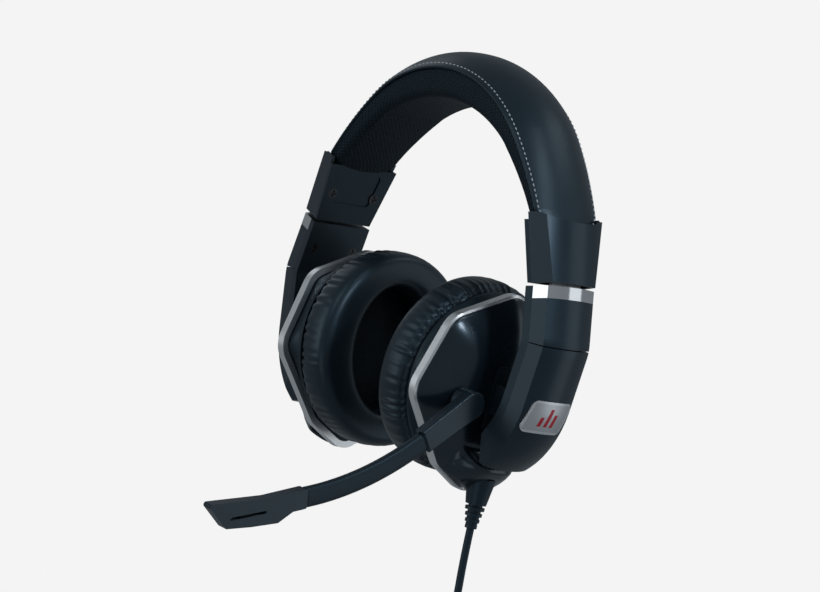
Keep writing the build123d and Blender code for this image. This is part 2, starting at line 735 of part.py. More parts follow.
# the yoke's back stays clear of the block's corners and the bracket's ears as they swivel
swivel = radians(SWIVEL_LIMIT)
block_sweep = BLOCK_X / 2 * cos(swivel) + BLOCK_Y / 2 * sin(swivel)
ear_sweep = EAR_RADIUS * cos(swivel) + ear_inner * sin(swivel)
yoke_back = PIVOT_X + max(block_sweep, ear_sweep) + LUG_GAP
yoke_nose = PIVOT_X - TRUNNION_RADIUS - LUG_NOSE
with BuildPart() as pivot_yoke:
    with BuildSketch(Plane.YZ.offset(yoke_back)):
        with Locations((0, PIVOT_Z)):
            Rectangle(BLOCK_Y, 2 * trunnion_reach)
    extrude(amount=ARM_DEPTH)
    add(arm_cavity, mode=Mode.INTERSECT)
    with BuildSketch(Plane.YZ.offset(yoke_nose)):
        lug_middle = trunnion_reach - LUG_THICKNESS / 2
        with Locations((0, PIVOT_Z - lug_middle), (0, PIVOT_Z + lug_middle)):
            Rectangle(BLOCK_Y, LUG_THICKNESS)
    extrude(amount=yoke_back - yoke_nose)
    add(trunnion_bore, mode=Mode.SUBTRACT)
save_pair(pivot_yoke.part, "pivot_yoke")


# ================================================================ ear cup


def cup_outline(inset=0.0, rounding=OUTLINE_ROUNDING):
    """Rounded eight-cornered outline, the same front and rear; call it in a BuildSketch."""
    right = list(OUTLINE)
    left = [mirrored(p) for p in reversed(OUTLINE[1:-1])]
    corners = Polygon(*right, *left, align=None)
    fillet(corners.vertices(), rounding)
    if inset:
        offset(amount=-inset, mode=Mode.REPLACE)


def cup_layer(low, high, inset=0.0, taper=0.0):
    with BuildPart() as layer:
        with BuildSketch(cup_face.offset(low)):
            cup_outline(inset)
        extrude(amount=high - low, taper=taper)
    return layer.part


with BuildPart() as trim_ring:
    add(cup_layer(-TRIM_DEPTH / 2, TRIM_DEPTH / 2))
    chamfer(trim_ring.faces().sort_by(Axis(cup_face.origin, CUP_OUT))[-1].edges(), TRIM_CHAMFER)
    add(cup_layer(-TRIM_DEPTH, TRIM_DEPTH, TRIM_WIDTH), mode=Mode.SUBTRACT)
save_pair(trim_ring.part, "trim_ring")


def dome(inset):
    with BuildPart() as form:
        add(cup_layer(SHELL_FOOT, SHELL_TOP - inset, SHELL_INSET + inset, SHELL_TAPER))
        crest = form.faces().sort_by(Axis(cup_face.origin, CUP_OUT))[-1].edges()
        fillet(crest, SHELL_CREST_RADIUS - inset)
    return form.part


def chin():
    """The shell's lower lip, which reaches out under the arm's toe."""
    toe_room = round_bar(PIVOT - Vector(0, FAR / 2, 0), (0, 1, 0), TOE_RADIUS + TOE_CLEARANCE, FAR)
    with BuildPart() as lip:
        with BuildSketch(cup_side.offset(-CHIN_WIDTH / 2)):
            Polygon(*CHIN_PROFILE, align=None)
        extrude(amount=CHIN_WIDTH)
        sides = lip.edges().filter_by(lambda e: abs(abs(e.center().Y) - CHIN_WIDTH / 2) < TOUCH)
        fillet(sides, CHIN_ROUNDING)
        add(toe_room, mode=Mode.SUBTRACT)
    return lip.part


relief_axis = Plane(origin=(RELIEF_X, 0, RELIEF_TOP), z_dir=(0, 0, -1))
boss_axis = Plane(
    origin=cup_face.from_local_coords((*BOSS_AT, 0)), x_dir=(0, 1, 0), z_dir=CUP_OUT
)

# ---------------------------------------------------------------- bracket that carries the cup

pivot_out, pivot_up = cup_side.to_local_coords(PIVOT).X, cup_side.to_local_coords(PIVOT).Y


def ear_profile():
    """One ear in side view: a tapering arm from the base plate to a round eye at the pivot."""
    base_out = SHELL_TOP + BRACKET_THICKNESS / 2
    with BuildSketch(cup_side) as profile:
        with Locations((pivot_out, pivot_up)):
            Circle(EAR_RADIUS)
        Polygon(
            (base_out, pivot_up - EAR_FOOT),
            (pivot_out - 1.0, pivot_up - EAR_RADIUS),
            (pivot_out - 1.0, pivot_up + EAR_RADIUS),
            (base_out, pivot_up + EAR_FOOT),
            align=None,
        )
    return profile.sketch


with BuildPart() as cup_bracket:
    with BuildSketch(cup_face.offset(SHELL_TOP)) as base:
        with Locations((0, pivot_up)):
            RectangleRounded(*BRACKET_BASE, BRACKET_ROUNDING)
    extrude(amount=BRACKET_THICKNESS)
    for side in (-1, 1):
        near = side * ear_inner
        extrude(ear_profile().moved(Location((0, near, 0))), amount=-side * EAR_THICKNESS)
    add(tilt_axle, mode=Mode.SUBTRACT)
save_pair(cup_bracket.part, "cup_bracket")

# ---------------------------------------------------------------- shells of the cup

with BuildPart() as cup_form:
    add(dome(0.0))
    add(chin())
with BuildPart() as right_form:
    add(cup_form.part)
    add(dome(SHELL_WALL), mode=Mode.SUBTRACT)
save(mirror(right_form.part, about=Plane.YZ), "right_cup_shell")

with BuildPart() as relief_form:
    with BuildSketch(relief_axis.offset(-COLLAR_LENGTH / 2)):
        Circle(COLLAR_RADIUS)
    with BuildSketch(relief_axis.offset(COLLAR_LENGTH)):
        Circle(COLLAR_RADIUS - COLLAR_TAPER)
    loft()

with BuildPart() as left_cup_shell:
    add(right_form.part)
    with BuildSketch(boss_axis):
        Circle(BOSS_NECK)
    extrude(amount=BOSS_TOP, mode=Mode.SUBTRACT)
    with BuildSketch(relief_axis.offset(-COLLAR_LENGTH / 2)):
        Circle(COLLAR_RADIUS)
    extrude(amount=FAR, mode=Mode.SUBTRACT)
save(left_cup_shell.part, "left_cup_shell")

with BuildPart() as baffle:
    with BuildSketch(cup_face.offset(-RIM_DEPTH)):
        with Locations((0, CUSHION_RISE)):
            Circle(RIM_RADIUS)
    with BuildSketch(cup_face.offset(-TRIM_DEPTH / 2)):
        cup_outline(TRIM_WIDTH + BAFFLE_CLEARANCE)
    loft()
    add(cup_layer(-TRIM_DEPTH / 2, SHELL_FOOT, TRIM_WIDTH))
    with BuildSketch(cup_face.offset(-RIM_DEPTH)):
        with Locations((0, CUSHION_RISE)):
            Circle(DRIVER_RADIUS - DRIVER_SEAT)
    extrude(amount=FAR / 4, mode=Mode.SUBTRACT)
save_pair(baffle.part, "baffle")

driver_plane = cup_face.offset(SHELL_FOOT)
with BuildPart() as driver_frame:
    with BuildSketch(driver_plane):
        with Locations((0, CUSHION_RISE)):
            Circle(DRIVER_RADIUS)
            Circle(DRIVER_RADIUS - DRIVER_LIP, mode=Mode.SUBTRACT)
    extrude(amount=DRIVER_HEIGHT - DRIVER_BACK)
    with BuildSketch(driver_plane.offset(DRIVER_HEIGHT - DRIVER_BACK)):
        with Locations((0, CUSHION_RISE)):
            Circle(DRIVER_RADIUS)
    extrude(amount=DRIVER_BACK)
    with BuildSketch(driver_plane.offset(DRIVER_HEIGHT)):
        with Locations((0, CUSHION_RISE)):
            Circle(MAGNET_RADIUS)
    extrude(amount=MAGNET_HEIGHT, taper=3)
save_pair(driver_frame.part, "driver_frame")

with BuildPart() as diaphragm:
    with BuildSketch(driver_plane):
        with Locations((0, CUSHION_RISE)):
            Circle(DRIVER_RADIUS - DRIVER_LIP)
    extrude(amount=DIAPHRAGM_THICKNESS)
    with BuildSketch(driver_plane):
        with Locations((0, CUSHION_RISE)):
            Circle(MAGNET_RADIUS - 2.0)
    extrude(amount=-DIAPHRAGM_DIP, taper=30)
save_pair(diaphragm.part, "diaphragm")

cushion_back = cup_face.offset(-RIM_DEPTH - MOUNT_RING_THICKNESS)


def ear_opening(margin=0.0):
    with Locations((0, CUSHION_RISE)):
        Ellipse(EAR_HOLE[0] / 2 + margin, EAR_HOLE[1] / 2 + margin, mode=Mode.SUBTRACT)


with BuildPart() as cushion_ring:
    with BuildSketch(cushion_back):
        with Locations((0, CUSHION_RISE)):
            Circle(RIM_RADIUS)
        ear_opening(-EAR_HOLE_SEAT)
    extrude(amount=MOUNT_RING_THICKNESS)
save_pair(cushion_ring.part, "cushion_ring")

with BuildPart() as driver_cloth:
    with BuildSketch(cushion_back):
        with Locations((0, CUSHION_RISE)):
            Ellipse(EAR_HOLE[0] / 2 - EAR_HOLE_SEAT, EAR_HOLE[1] / 2 - EAR_HOLE_SEAT)
    extrude(amount=CLOTH_THICKNESS)
save_pair(driver_cloth.part, "driver_cloth")

with BuildPart() as ear_cushion:
    with BuildSketch(cushion_back):
        with Locations((0, CUSHION_RISE)):
            Circle(CUSHION_RADIUS)
        ear_opening()
    extrude(amount=-CUSHION_THICKNESS)
    fillet(ear_cushion.edges(), CUSHION_ROUNDING)
save_pair(ear_cushion.part, "ear_cushion")


# ================================================================ microphone


def boom_plane(height=0.0):
    return cup_face.offset(BOSS_TOP + BOOM_GAP + height)


def turned(point, angle, along, across=0.0):
    """A point reached from another by going along, then across, a downward-leaning direction."""
    a = radians(angle)
    return (
        point[0] - along * cos(a) - across * sin(a),
        point[1] - along * sin(a) + across * cos(a),
    )


link_end = turned(BOSS_AT, LINK_ANGLE, LINK_LENGTH)
flex_centre = turned(link_end, LINK_ANGLE, 0.0, FLEX_RADIUS)


def on_flex(angle, across=0.0):
    """Point of the flexible stretch where the boom has a given slope."""
    return turned(flex_centre, angle, 0.0, across - FLEX_RADIUS)


flex_end = on_flex(CAPSULE_ANGLE)
FLEX_MIDDLE = (LINK_ANGLE + CAPSULE_ANGLE) / 2

with BuildPart() as mic_boss:
    with BuildSketch(boss_axis.offset(SHELL_TOP)):
        Circle(BOSS_RADIUS)
    extrude(amount=BOSS_TOP - SHELL_TOP)
    with BuildSketch(boss_axis.offset(SHELL_TOP - SHELL_WALL)):
        Circle(BOSS_NECK)
    extrude(amount=SHELL_WALL)
    with BuildSketch(boss_axis.offset(BOSS_TOP)):
        Circle(AXLE_RADIUS)
    extrude(amount=BOOM_GAP + BOOM_THICKNESS - AXLE_CAP)
save(mic_boss.part, "mic_boss")

with BuildPart() as mic_link:
    with BuildSketch(boom_plane()):
        with Locations(BOSS_AT):
            Circle(HUB_RADIUS)
        Polygon(
            turned(BOSS_AT, LINK_ANGLE, 0, HUB_RADIUS),
            turned(BOSS_AT, LINK_ANGLE, 0, -HUB_RADIUS),
            turned(link_end, LINK_ANGLE, 0, -LINK_HEIGHT / 2),
            turned(link_end, LINK_ANGLE, 0, LINK_HEIGHT / 2),
            align=None,
        )
    extrude(amount=BOOM_THICKNESS)
    fillet(mic_link.faces().sort_by(Axis(cup_face.origin, CUP_OUT))[-1].edges(), LINK_ROUNDING)
    with BuildSketch(boom_plane()):
        with Locations(BOSS_AT):
            Circle(AXLE_RADIUS + RUNNING_CLEARANCE)
    extrude(amount=BOOM_THICKNESS - AXLE_CAP, mode=Mode.SUBTRACT)
save(mic_link.part, "mic_link")


def flex_stretch(from_angle, to_angle):
    """A stretch of the flexible bar between two slopes."""
    half = FLEX_HEIGHT / 2
    middle = (from_angle + to_angle) / 2
    with BuildPart() as stretch:
        with BuildSketch(boom_plane(FLEX_INSET)):
            with BuildLine():
                ThreePointArc(*[on_flex(a, half) for a in (from_angle, middle, to_angle)])
                ThreePointArc(*[on_flex(a, -half) for a in (from_angle, middle, to_angle)])
                Line(on_flex(from_angle, half), on_flex(from_angle, -half))
                Line(on_flex(to_angle, half), on_flex(to_angle, -half))
            make_face()
        extrude(amount=BOOM_THICKNESS - 2 * FLEX_INSET)
    return stretch.part


joint_gap_angle = degrees(FLEX_JOINT_GAP / FLEX_RADIUS)
with BuildPart() as mic_flex_root:
    add(flex_stretch(LINK_ANGLE, FLEX_MIDDLE + joint_gap_angle))
save(mic_flex_root.part, "mic_flex_root")
with BuildPart() as mic_flex_tip:
    add(flex_stretch(FLEX_MIDDLE - joint_gap_angle, CAPSULE_ANGLE))
save(mic_flex_tip.part, "mic_flex_tip")

with BuildPart() as capsule_form:
    with BuildSketch(boom_plane()):
        Polygon(*[turned(flex_end, CAPSULE_ANGLE, *p) for p in CAPSULE_PROFILE], align=None)
    extrude(amount=BOOM_THICKNESS)
    fillet(capsule_form.edges().filter_by(Axis(cup_face.origin, CUP_OUT)), CAPSULE_ROUNDING)
with BuildPart() as mic_room:
    with BuildSketch(boom_plane(MIC_WALL)):
        with Locations(Location(turned(flex_end, CAPSULE_ANGLE, *MIC_ROOM_AT), CAPSULE_ANGLE)):
            Rectangle(*MIC_ROOM)
    extrude(amount=BOOM_THICKNESS - 2 * MIC_WALL)
with BuildPart() as slot_cut:
    with BuildSketch(boom_plane()):
        with Locations(Location(turned(flex_end, CAPSULE_ANGLE, *MIC_SLOT_AT), CAPSULE_ANGLE)):
            SlotOverall(*MIC_SLOT)
    extrude(amount=BOOM_THICKNESS)

half_layer = slab(cup_face, BOSS_TOP + BOOM_GAP + BOOM_THICKNESS / 2, FAR)
capsule_shell_form = capsule_form.part - mic_room.part - slot_cut.part
with BuildPart() as mic_cover_outer:
    add(capsule_shell_form)
    add(half_layer, mode=Mode.INTERSECT)
save(mic_cover_outer.part, "mic_cover_outer")
with BuildPart() as mic_cover_inner:
    add(capsule_shell_form)
    add(half_layer, mode=Mode.SUBTRACT)
save(mic_cover_inner.part, "mic_cover_inner")

with BuildPart() as mic_element:
    with BuildSketch(boom_plane(MIC_WALL)):
        with Locations(turned(flex_end, CAPSULE_ANGLE, MIC_SLOT_AT[0], MIC_ROOM_AT[1])):
            Circle(MIC_ELEMENT_RADIUS)
    extrude(amount=BOOM_THICKNESS - 2 * MIC_WALL)
save(mic_element.part, "mic_element")


# ================================================================ cord

def run_from(start, offsets):
    return [tuple(Vector(*start) + Vector(*offset)) for offset in offsets]


cord_exit = (RELIEF_X, 0, RELIEF_TOP - RELIEF_LENGTH)
lead_route = run_from(cord_exit, LEAD_RUNS)
coil_top = cord_exit[2] + LEAD_RUNS[-1][2]
tail_route = run_from((RELIEF_X, 0, coil_top - COIL_DIAMETER), TAIL_RUNS)

core = CORD_DIAMETER / 2 + RELIEF_WALL
with BuildPart() as strain_relief:
    add(relief_form.part)
    with BuildSketch(relief_axis.offset(COLLAR_LENGTH)):
        Circle(core + RELIEF_WALL / 2)
    with BuildSketch(relief_axis.offset(RELIEF_LENGTH)):
        Circle(core - RELIEF_WALL / 4)
    loft()
    rib_pitch = (RELIEF_LENGTH - COLLAR_LENGTH) / RIB_COUNT
    for n in range(RIB_COUNT):
        with BuildSketch(relief_axis.offset(COLLAR_LENGTH + rib_pitch * (n + 0.45))):
            Circle(RIB_RADIUS - RIB_STEP * n)
        extrude(amount=rib_pitch * 0.5)
save(strain_relief.part, "strain_relief")


def corner_radii(route):
    """The largest tangent arc that the runs on both sides of each corner leave room for."""
    points = [Vector(*p) for p in route]
    radii = []
    for before, at, after in zip(points, points[1:], points[2:]):
        turn = radians((at - before).get_angle(after - at))
        radii.append(0.45 * min((at - before).length, (after - at).length) / tan(turn / 2))
    return radii


def cord_tube(route):
    radii = corner_radii(route)
    with BuildPart() as tube:
        with BuildLine() as line:
            FilletPolyline(*route, radius=radii)
        path = line.wire()
        with BuildSketch(Plane(origin=path @ 0, z_dir=path % 0)):
            Circle(CORD_DIAMETER / 2)
        sweep(path=path)
    print("bend radii of the run:", [round(radius) for radius in radii])
    return tube.part


save(cord_tube(lead_route), "cord_lead")
save(cord_tube(tail_route), "cord_tail")

coil_outer = COIL_DIAMETER / 2
coil_centre = (RELIEF_X, 0, coil_top - coil_outer)
with BuildPart() as cord_coil:
    coil_side = Plane(origin=coil_centre, x_dir=(0, 1, 0), z_dir=(1, 0, 0))
    with BuildSketch(coil_side.offset(-COIL_SECTION / 2)):
        Circle(coil_outer)
        Circle(coil_outer - COIL_SECTION, mode=Mode.SUBTRACT)
    extrude(amount=COIL_SECTION)
    fillet(cord_coil.edges(), COIL_SECTION / 2 - COIL_EDGE)
save(cord_coil.part, "cord_coil")

with BuildPart() as cord_tie:
    bundle_middle = coil_outer - COIL_SECTION / 2
    tie_size = COIL_SECTION + 2 * TIE_WALL
    with BuildSketch(Plane(origin=(RELIEF_X, bundle_middle, coil_centre[2] - TIE_WIDTH / 2))):
        RectangleRounded(tie_size, tie_size, TIE_ROUNDING)
    extrude(amount=TIE_WIDTH)
    add(cord_coil.part, mode=Mode.SUBTRACT)
save(cord_tie.part, "cord_tie")

plug_axis = Plane(origin=tail_route[-1], z_dir=(0, 0, -1))
with BuildPart() as plug_body:
    with BuildSketch(plug_axis):
        Circle(CORD_DIAMETER / 2 + PLUG_WALL)
    with BuildSketch(plug_axis.offset(PLUG_TAPER)):
        Circle(PLUG_RADIUS)
    loft()
    with BuildSketch(plug_axis.offset(PLUG_TAPER)):
        Circle(PLUG_RADIUS)
    extrude(amount=PLUG_BODY_LENGTH - PLUG_TAPER)
    fillet(plug_body.faces().sort_by(Axis.Z)[0].edges(), PLUG_ROUNDING)
save(plug_body.part, "plug_body")

with BuildPart() as jack:
    with BuildSketch(plug_axis.offset(PLUG_BODY_LENGTH)):
        Circle(JACK_COLLAR[0])
    extrude(amount=JACK_COLLAR[1])
    with BuildSketch(plug_axis.offset(PLUG_BODY_LENGTH)):
        Circle(JACK_RADIUS)
    extrude(amount=JACK_LENGTH)
    chamfer(jack.faces().sort_by(Axis.Z)[0].edges(), JACK_POINT)
save(jack.part, "jack")
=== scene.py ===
from math import atan2, cos, degrees, pi, radians, sin, sqrt, tau

import bmesh
import bpy
from mathutils import Matrix, Vector


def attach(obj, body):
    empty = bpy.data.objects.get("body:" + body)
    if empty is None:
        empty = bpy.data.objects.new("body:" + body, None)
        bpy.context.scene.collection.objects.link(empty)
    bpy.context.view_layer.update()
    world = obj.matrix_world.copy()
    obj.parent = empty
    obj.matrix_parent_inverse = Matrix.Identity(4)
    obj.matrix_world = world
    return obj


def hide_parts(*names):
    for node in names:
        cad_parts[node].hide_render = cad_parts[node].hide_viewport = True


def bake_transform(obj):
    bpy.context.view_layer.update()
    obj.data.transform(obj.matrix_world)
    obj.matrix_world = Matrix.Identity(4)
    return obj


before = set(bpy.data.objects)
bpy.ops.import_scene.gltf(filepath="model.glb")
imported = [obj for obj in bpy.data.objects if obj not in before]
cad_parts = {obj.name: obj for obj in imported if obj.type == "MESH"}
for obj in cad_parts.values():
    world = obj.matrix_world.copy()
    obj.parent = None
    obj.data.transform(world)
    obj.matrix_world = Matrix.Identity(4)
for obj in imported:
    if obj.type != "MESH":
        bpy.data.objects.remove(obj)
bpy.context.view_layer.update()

# ---------------------------------------------------------------- camera
# A long lens a little over two metres away, at the front on the wearer's left, slightly above
# the cups, and rolled so that the headset leans to the right in the frame.
CAMERA_AZIMUTH = radians(46.92)
CAMERA_HEIGHT_ANGLE = radians(4.75)
CAMERA_ROLL = radians(12.25)
CAMERA_DISTANCE = 2.3242
CAMERA_LENS = 227.19
CAMERA_AIM = Vector((-0.00676, -0.00989, -0.09083))

camera_right = Vector((cos(CAMERA_AZIMUTH), sin(CAMERA_AZIMUTH), 0))
camera_back = Vector(
    (
        sin(CAMERA_AZIMUTH) * cos(CAMERA_HEIGHT_ANGLE),
        -cos(CAMERA_AZIMUTH) * cos(CAMERA_HEIGHT_ANGLE),
        sin(CAMERA_HEIGHT_ANGLE),
    )
)
camera_up = camera_back.cross(camera_right)
rolled_right = cos(CAMERA_ROLL) * camera_right + sin(CAMERA_ROLL) * camera_up
rolled_up = cos(CAMERA_ROLL) * camera_up - sin(CAMERA_ROLL) * camera_right
camera_data = bpy.data.cameras.new("camera")
camera_data.lens = CAMERA_LENS
camera_data.sensor_width = 36.0
camera = bpy.data.objects.new("camera", camera_data)
turn = Matrix((rolled_right, rolled_up, camera_back)).transposed().to_4x4()
camera.matrix_world = Matrix.Translation(CAMERA_AIM + camera_back * CAMERA_DISTANCE) @ turn
bpy.context.scene.collection.objects.link(camera)
bpy.context.scene.camera = camera

# ---------------------------------------------------------------- cord
# A round flexible lead in smooth black PVC. It leaves the left cup straight down through the
# ribbed strain relief; the length that isn't in use is wound in a neat tied coil over the plug.
MM = 0.001
CORD_DIAMETER = 3.5 * MM
CORD_LENGTH = 2.0
CORD_X = 0.053
LEAD_ROUTE = [(CORD_X, 0, -0.183), (CORD_X, 0, -0.199), (CORD_X + 0.0006, 0.0008, -0.219)]
TAIL_ROUTE = [(CORD_X + 0.0008, 0.0007, -0.306), (CORD_X, 0, -0.321)]
COIL_TOP, COIL_BOTTOM = -0.238, -0.291
COIL_RADIUS = 0.020
COIL_FIRST_TURNS, COIL_TURN_STEP, COIL_TRIES = 13.5, 0.5, 12
POINTS_PER_TURN = 16


def collection_link(item):
    bpy.context.scene.collection.objects.link(item)
    return item


def coil_points(turns):
    """Turns about X that fill the bundle, layer by layer, then drop into the tail."""
    centre_z = (COIL_TOP + COIL_BOTTOM) / 2
    places = []
    total = int(turns * POINTS_PER_TURN)
    for n in range(total + 1):
        angle = tau * n / POINTS_PER_TURN
        layer = n / total * 4.0
        column = (layer % 1.0) if int(layer) % 2 == 0 else 1.0 - layer % 1.0
        across = (column - 0.5) * 3.0 * CORD_DIAMETER
        radius = COIL_RADIUS + (int(min(layer, 3.999)) - 1.5) * CORD_DIAMETER * 0.95
        places.append((CORD_X + across, -radius * sin(angle), centre_z + radius * cos(angle)))
    return places


def spline_length(points):
    curve = bpy.data.curves.new("measure", "CURVE")
    curve.dimensions = "3D"
    spline = curve.splines.new("NURBS")
    spline.points.add(len(points) - 1)
    for point, place in zip(spline.points, points):
        point.co = (*place, 1)
    spline.order_u = 3
    spline.use_endpoint_u = True
    return curve, spline.calc_length()


def new_group(name, sockets_in, sockets_out):
    """An empty shader node group with named sockets."""
    group = bpy.data.node_groups.new(name, "ShaderNodeTree")
    for label, kind, value in sockets_in:
        socket = group.interface.new_socket(label, in_out="INPUT", socket_type=kind)
        if value is not None:
            socket.default_value = value
    for label, kind in sockets_out:
        group.interface.new_socket(label, in_out="OUTPUT", socket_type=kind)
    return group, group.nodes.new("NodeGroupInput"), group.nodes.new("NodeGroupOutput")


def make_moulded_grain():
    """Fine even grain of a moulded surface, and slow uneven gloss from handling."""
    group, start, end = new_group(
        "moulded_grain",
        [("Vector", "NodeSocketVector", None), ("Scale", "NodeSocketFloat", 500.0)],
        [("Height", "NodeSocketFloat"), ("Uneven", "NodeSocketFloat")],
    )
    fine = group.nodes.new("ShaderNodeTexNoise")
    fine.inputs["Detail"].default_value = 3.0
    slow = group.nodes.new("ShaderNodeTexNoise")
    slow.inputs["Scale"].default_value = 38.0
    slow.inputs["Detail"].default_value = 4.0
    slow.inputs["Roughness"].default_value = 0.62
    group.links.new(start.outputs["Vector"], fine.inputs["Vector"])
    group.links.new(start.outputs["Scale"], fine.inputs["Scale"])
    group.links.new(start.outputs["Vector"], slow.inputs["Vector"])
    group.links.new(fine.outputs["Fac"], end.inputs["Height"])
    spread = group.nodes.new("ShaderNodeMapRange")
    spread.inputs["From Min"].default_value = 0.32
    spread.inputs["From Max"].default_value = 0.68
    group.links.new(slow.outputs["Fac"], spread.inputs["Value"])
    group.links.new(spread.outputs[0], end.inputs["Uneven"])
    return group


def make_leather_grain():
    """Pebbled cells with creases between them, over slow unevenness."""
    group, start, end = new_group(
        "leather_grain",
        [("Vector", "NodeSocketVector", None), ("Scale", "NodeSocketFloat", 900.0)],
        [("Height", "NodeSocketFloat"), ("Uneven", "NodeSocketFloat")],
    )
    cells = group.nodes.new("ShaderNodeTexVoronoi")
    cells.feature = "DISTANCE_TO_EDGE"
    wobble = group.nodes.new("ShaderNodeTexNoise")
    wobble.inputs["Scale"].default_value = 300.0
    slow = group.nodes.new("ShaderNodeTexNoise")
    slow.inputs["Scale"].default_value = 45.0
    slow.inputs["Detail"].default_value = 4.0
    bend = group.nodes.new("ShaderNodeVectorMath")
    bend.operation = "MULTIPLY_ADD"
    bend.inputs[1].default_value = (0.0012, 0.0012, 0.0012)
    group.links.new(start.outputs["Vector"], wobble.inputs["Vector"])
    group.links.new(start.outputs["Vector"], slow.inputs["Vector"])
    group.links.new(wobble.outputs["Color"], bend.inputs[0])
    group.links.new(start.outputs["Vector"], bend.inputs[2])
    group.links.new(bend.outputs[0], cells.inputs["Vector"])
    group.links.new(start.outputs["Scale"], cells.inputs["Scale"])
    crease = group.nodes.new("ShaderNodeMapRange")
    crease.inputs["From Max"].default_value = 0.28
    group.links.new(cells.outputs["Distance"], crease.inputs["Value"])
    group.links.new(crease.outputs[0], end.inputs["Height"])
    spread = group.nodes.new("ShaderNodeMapRange")
    spread.inputs["From Min"].default_value = 0.32
    spread.inputs["From Max"].default_value = 0.68
    group.links.new(slow.outputs["Fac"], spread.inputs["Value"])
    group.links.new(spread.outputs[0], end.inputs["Uneven"])
    return group


moulded_grain = make_moulded_grain()
leather_grain = make_leather_grain()


COOL_SHEEN = (0.52, 0.80, 1.0, 1)


def new_surface(name, roughness, metallic=0.0, coat=0.0, coat_roughness=0.05):
    """A material with one Principled BSDF, its plain numbers set on the shader itself."""
    material = bpy.data.materials.new(name)
    material.use_nodes = True
    shader = material.node_tree.nodes["Principled BSDF"]
    shader.inputs["Roughness"].default_value = roughness
    shader.inputs["Metallic"].default_value = metallic
    shader.inputs["Coat Weight"].default_value = coat
    shader.inputs["Coat Roughness"].default_value = coat_roughness
    if metallic == 0.0:
        shader.inputs["Specular Tint"].default_value = COOL_SHEEN
    return material, material.node_tree, shader


def add_bump(tree, shader, height, depth):
    """A height in metres of relief bends the shader's normal."""
    bump = tree.nodes.new("ShaderNodeBump")
    bump.inputs["Distance"].default_value = depth
    tree.links.new(height, bump.inputs["Height"])
    tree.links.new(bump.outputs[0], shader.inputs["Normal"])


def colour_mix(tree, first, second):
    """A mix of two colours with its factor left open."""
    mix = tree.nodes.new("ShaderNodeMix")
    mix.data_type = "RGBA"
    mix.inputs["A"].default_value = first
    mix.inputs["B"].default_value = second
    return mix


def surface(
    name, colour, second, grain, scale, roughness, spread, depth, metallic=0.0, coat=0.0, coat_roughness=0.05
):
    """A grained material: two near colours and a gloss that varies, over a fine bump."""
    material, tree, shader = new_surface(name, roughness, metallic, coat, coat_roughness)
    place = tree.nodes.new("ShaderNodeTexCoord")
    texture = tree.nodes.new("ShaderNodeGroup")
    texture.node_tree = grain
    texture.inputs["Scale"].default_value = scale
    tree.links.new(place.outputs["Object"], texture.inputs["Vector"])
    tint = colour_mix(tree, (*colour, 1), (*second, 1))
    tree.links.new(texture.outputs["Uneven"], tint.inputs["Factor"])
    tree.links.new(tint.outputs["Result"], shader.inputs["Base Color"])
    gloss = tree.nodes.new("ShaderNodeMapRange")
    gloss.inputs["To Min"].default_value = roughness - spread / 2
    gloss.inputs["To Max"].default_value = roughness + spread / 2
    tree.links.new(texture.outputs["Uneven"], gloss.inputs["Value"])
    tree.links.new(gloss.outputs[0], shader.inputs["Roughness"])
    add_bump(tree, shader, texture.outputs["Height"], depth)
    return material


cord_rubber = surface(
    "cord_rubber", (0.0085, 0.0155, 0.0220), (0.0110, 0.0185, 0.0255), moulded_grain, 1800.0, 0.42, 0.10,
    depth=0.00002, coat=0.1, coat_roughness=0.3,
)

turns = COIL_FIRST_TURNS
for _ in range(COIL_TRIES):
    cord_curve, length = spline_length(LEAD_ROUTE + coil_points(turns) + TAIL_ROUTE)
    if length > CORD_LENGTH:
        break
    turns += COIL_TURN_STEP
cord_curve.bevel_depth = CORD_DIAMETER / 2
cord_curve.bevel_resolution = 5
cord_curve.resolution_u = 6
cord_curve.materials.append(cord_rubber)
cord = collection_link(bpy.data.objects.new("cord", cord_curve))
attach(cord, "left_cup")
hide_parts("cord_lead", "cord_coil", "cord_tail")

# ---------------------------------------------------------------- studio
# A wide pale dish stands for the floor and the wall; soft boxes light the gloss from both sides.
FLOOR_Z = -0.42
DISH_SIDES = 64
stage_mesh = bpy.data.meshes.new("backdrop")
rings = [(0.0, 0.0), (3.2, 0.0), (3.9, 0.15), (4.4, 0.65), (4.6, 1.5), (4.6, 5.0)]
build = bmesh.new()
loops = []
for radius, rise in rings[1:]:
    turns_round = [tau * k / DISH_SIDES for k in range(DISH_SIDES)]
    loops.append([build.verts.new((radius * cos(a), radius * sin(a), FLOOR_Z + rise)) for a in turns_round])
build.faces.new(loops[0])
for low, high in zip(loops, loops[1:]):
    for k in range(DISH_SIDES):
        after = (k + 1) % DISH_SIDES
        build.faces.new((low[k], low[after], high[after], high[k]))
build.to_mesh(stage_mesh)
build.free()
backdrop = collection_link(bpy.data.objects.new("backdrop", stage_mesh))
for face in stage_mesh.polygons:
    face.use_smooth = True
paint = bpy.data.materials.new("backdrop")
paint.use_nodes = True
tree = paint.node_tree
tree.nodes.clear()
glow = tree.nodes.new("ShaderNodeEmission")
glow.inputs["Color"].default_value = (0.905, 0.905, 0.905, 1)
out = tree.nodes.new("ShaderNodeOutputMaterial")
tree.links.new(glow.outputs[0], out.inputs[0])
stage_mesh.materials.append(paint)
backdrop.visible_glossy = False
backdrop.visible_diffuse = False

world = bpy.data.worlds.new("studio")
bpy.context.scene.world = world
world.use_nodes = True
world.node_tree.nodes["Background"].inputs["Color"].default_value = (0.84, 0.93, 1.0, 1)
world.node_tree.nodes["Background"].inputs["Strength"].default_value = 0.20
bpy.context.scene.view_settings.view_transform = "Standard"

LIGHT_AIM = Vector((0, 0, -0.08))


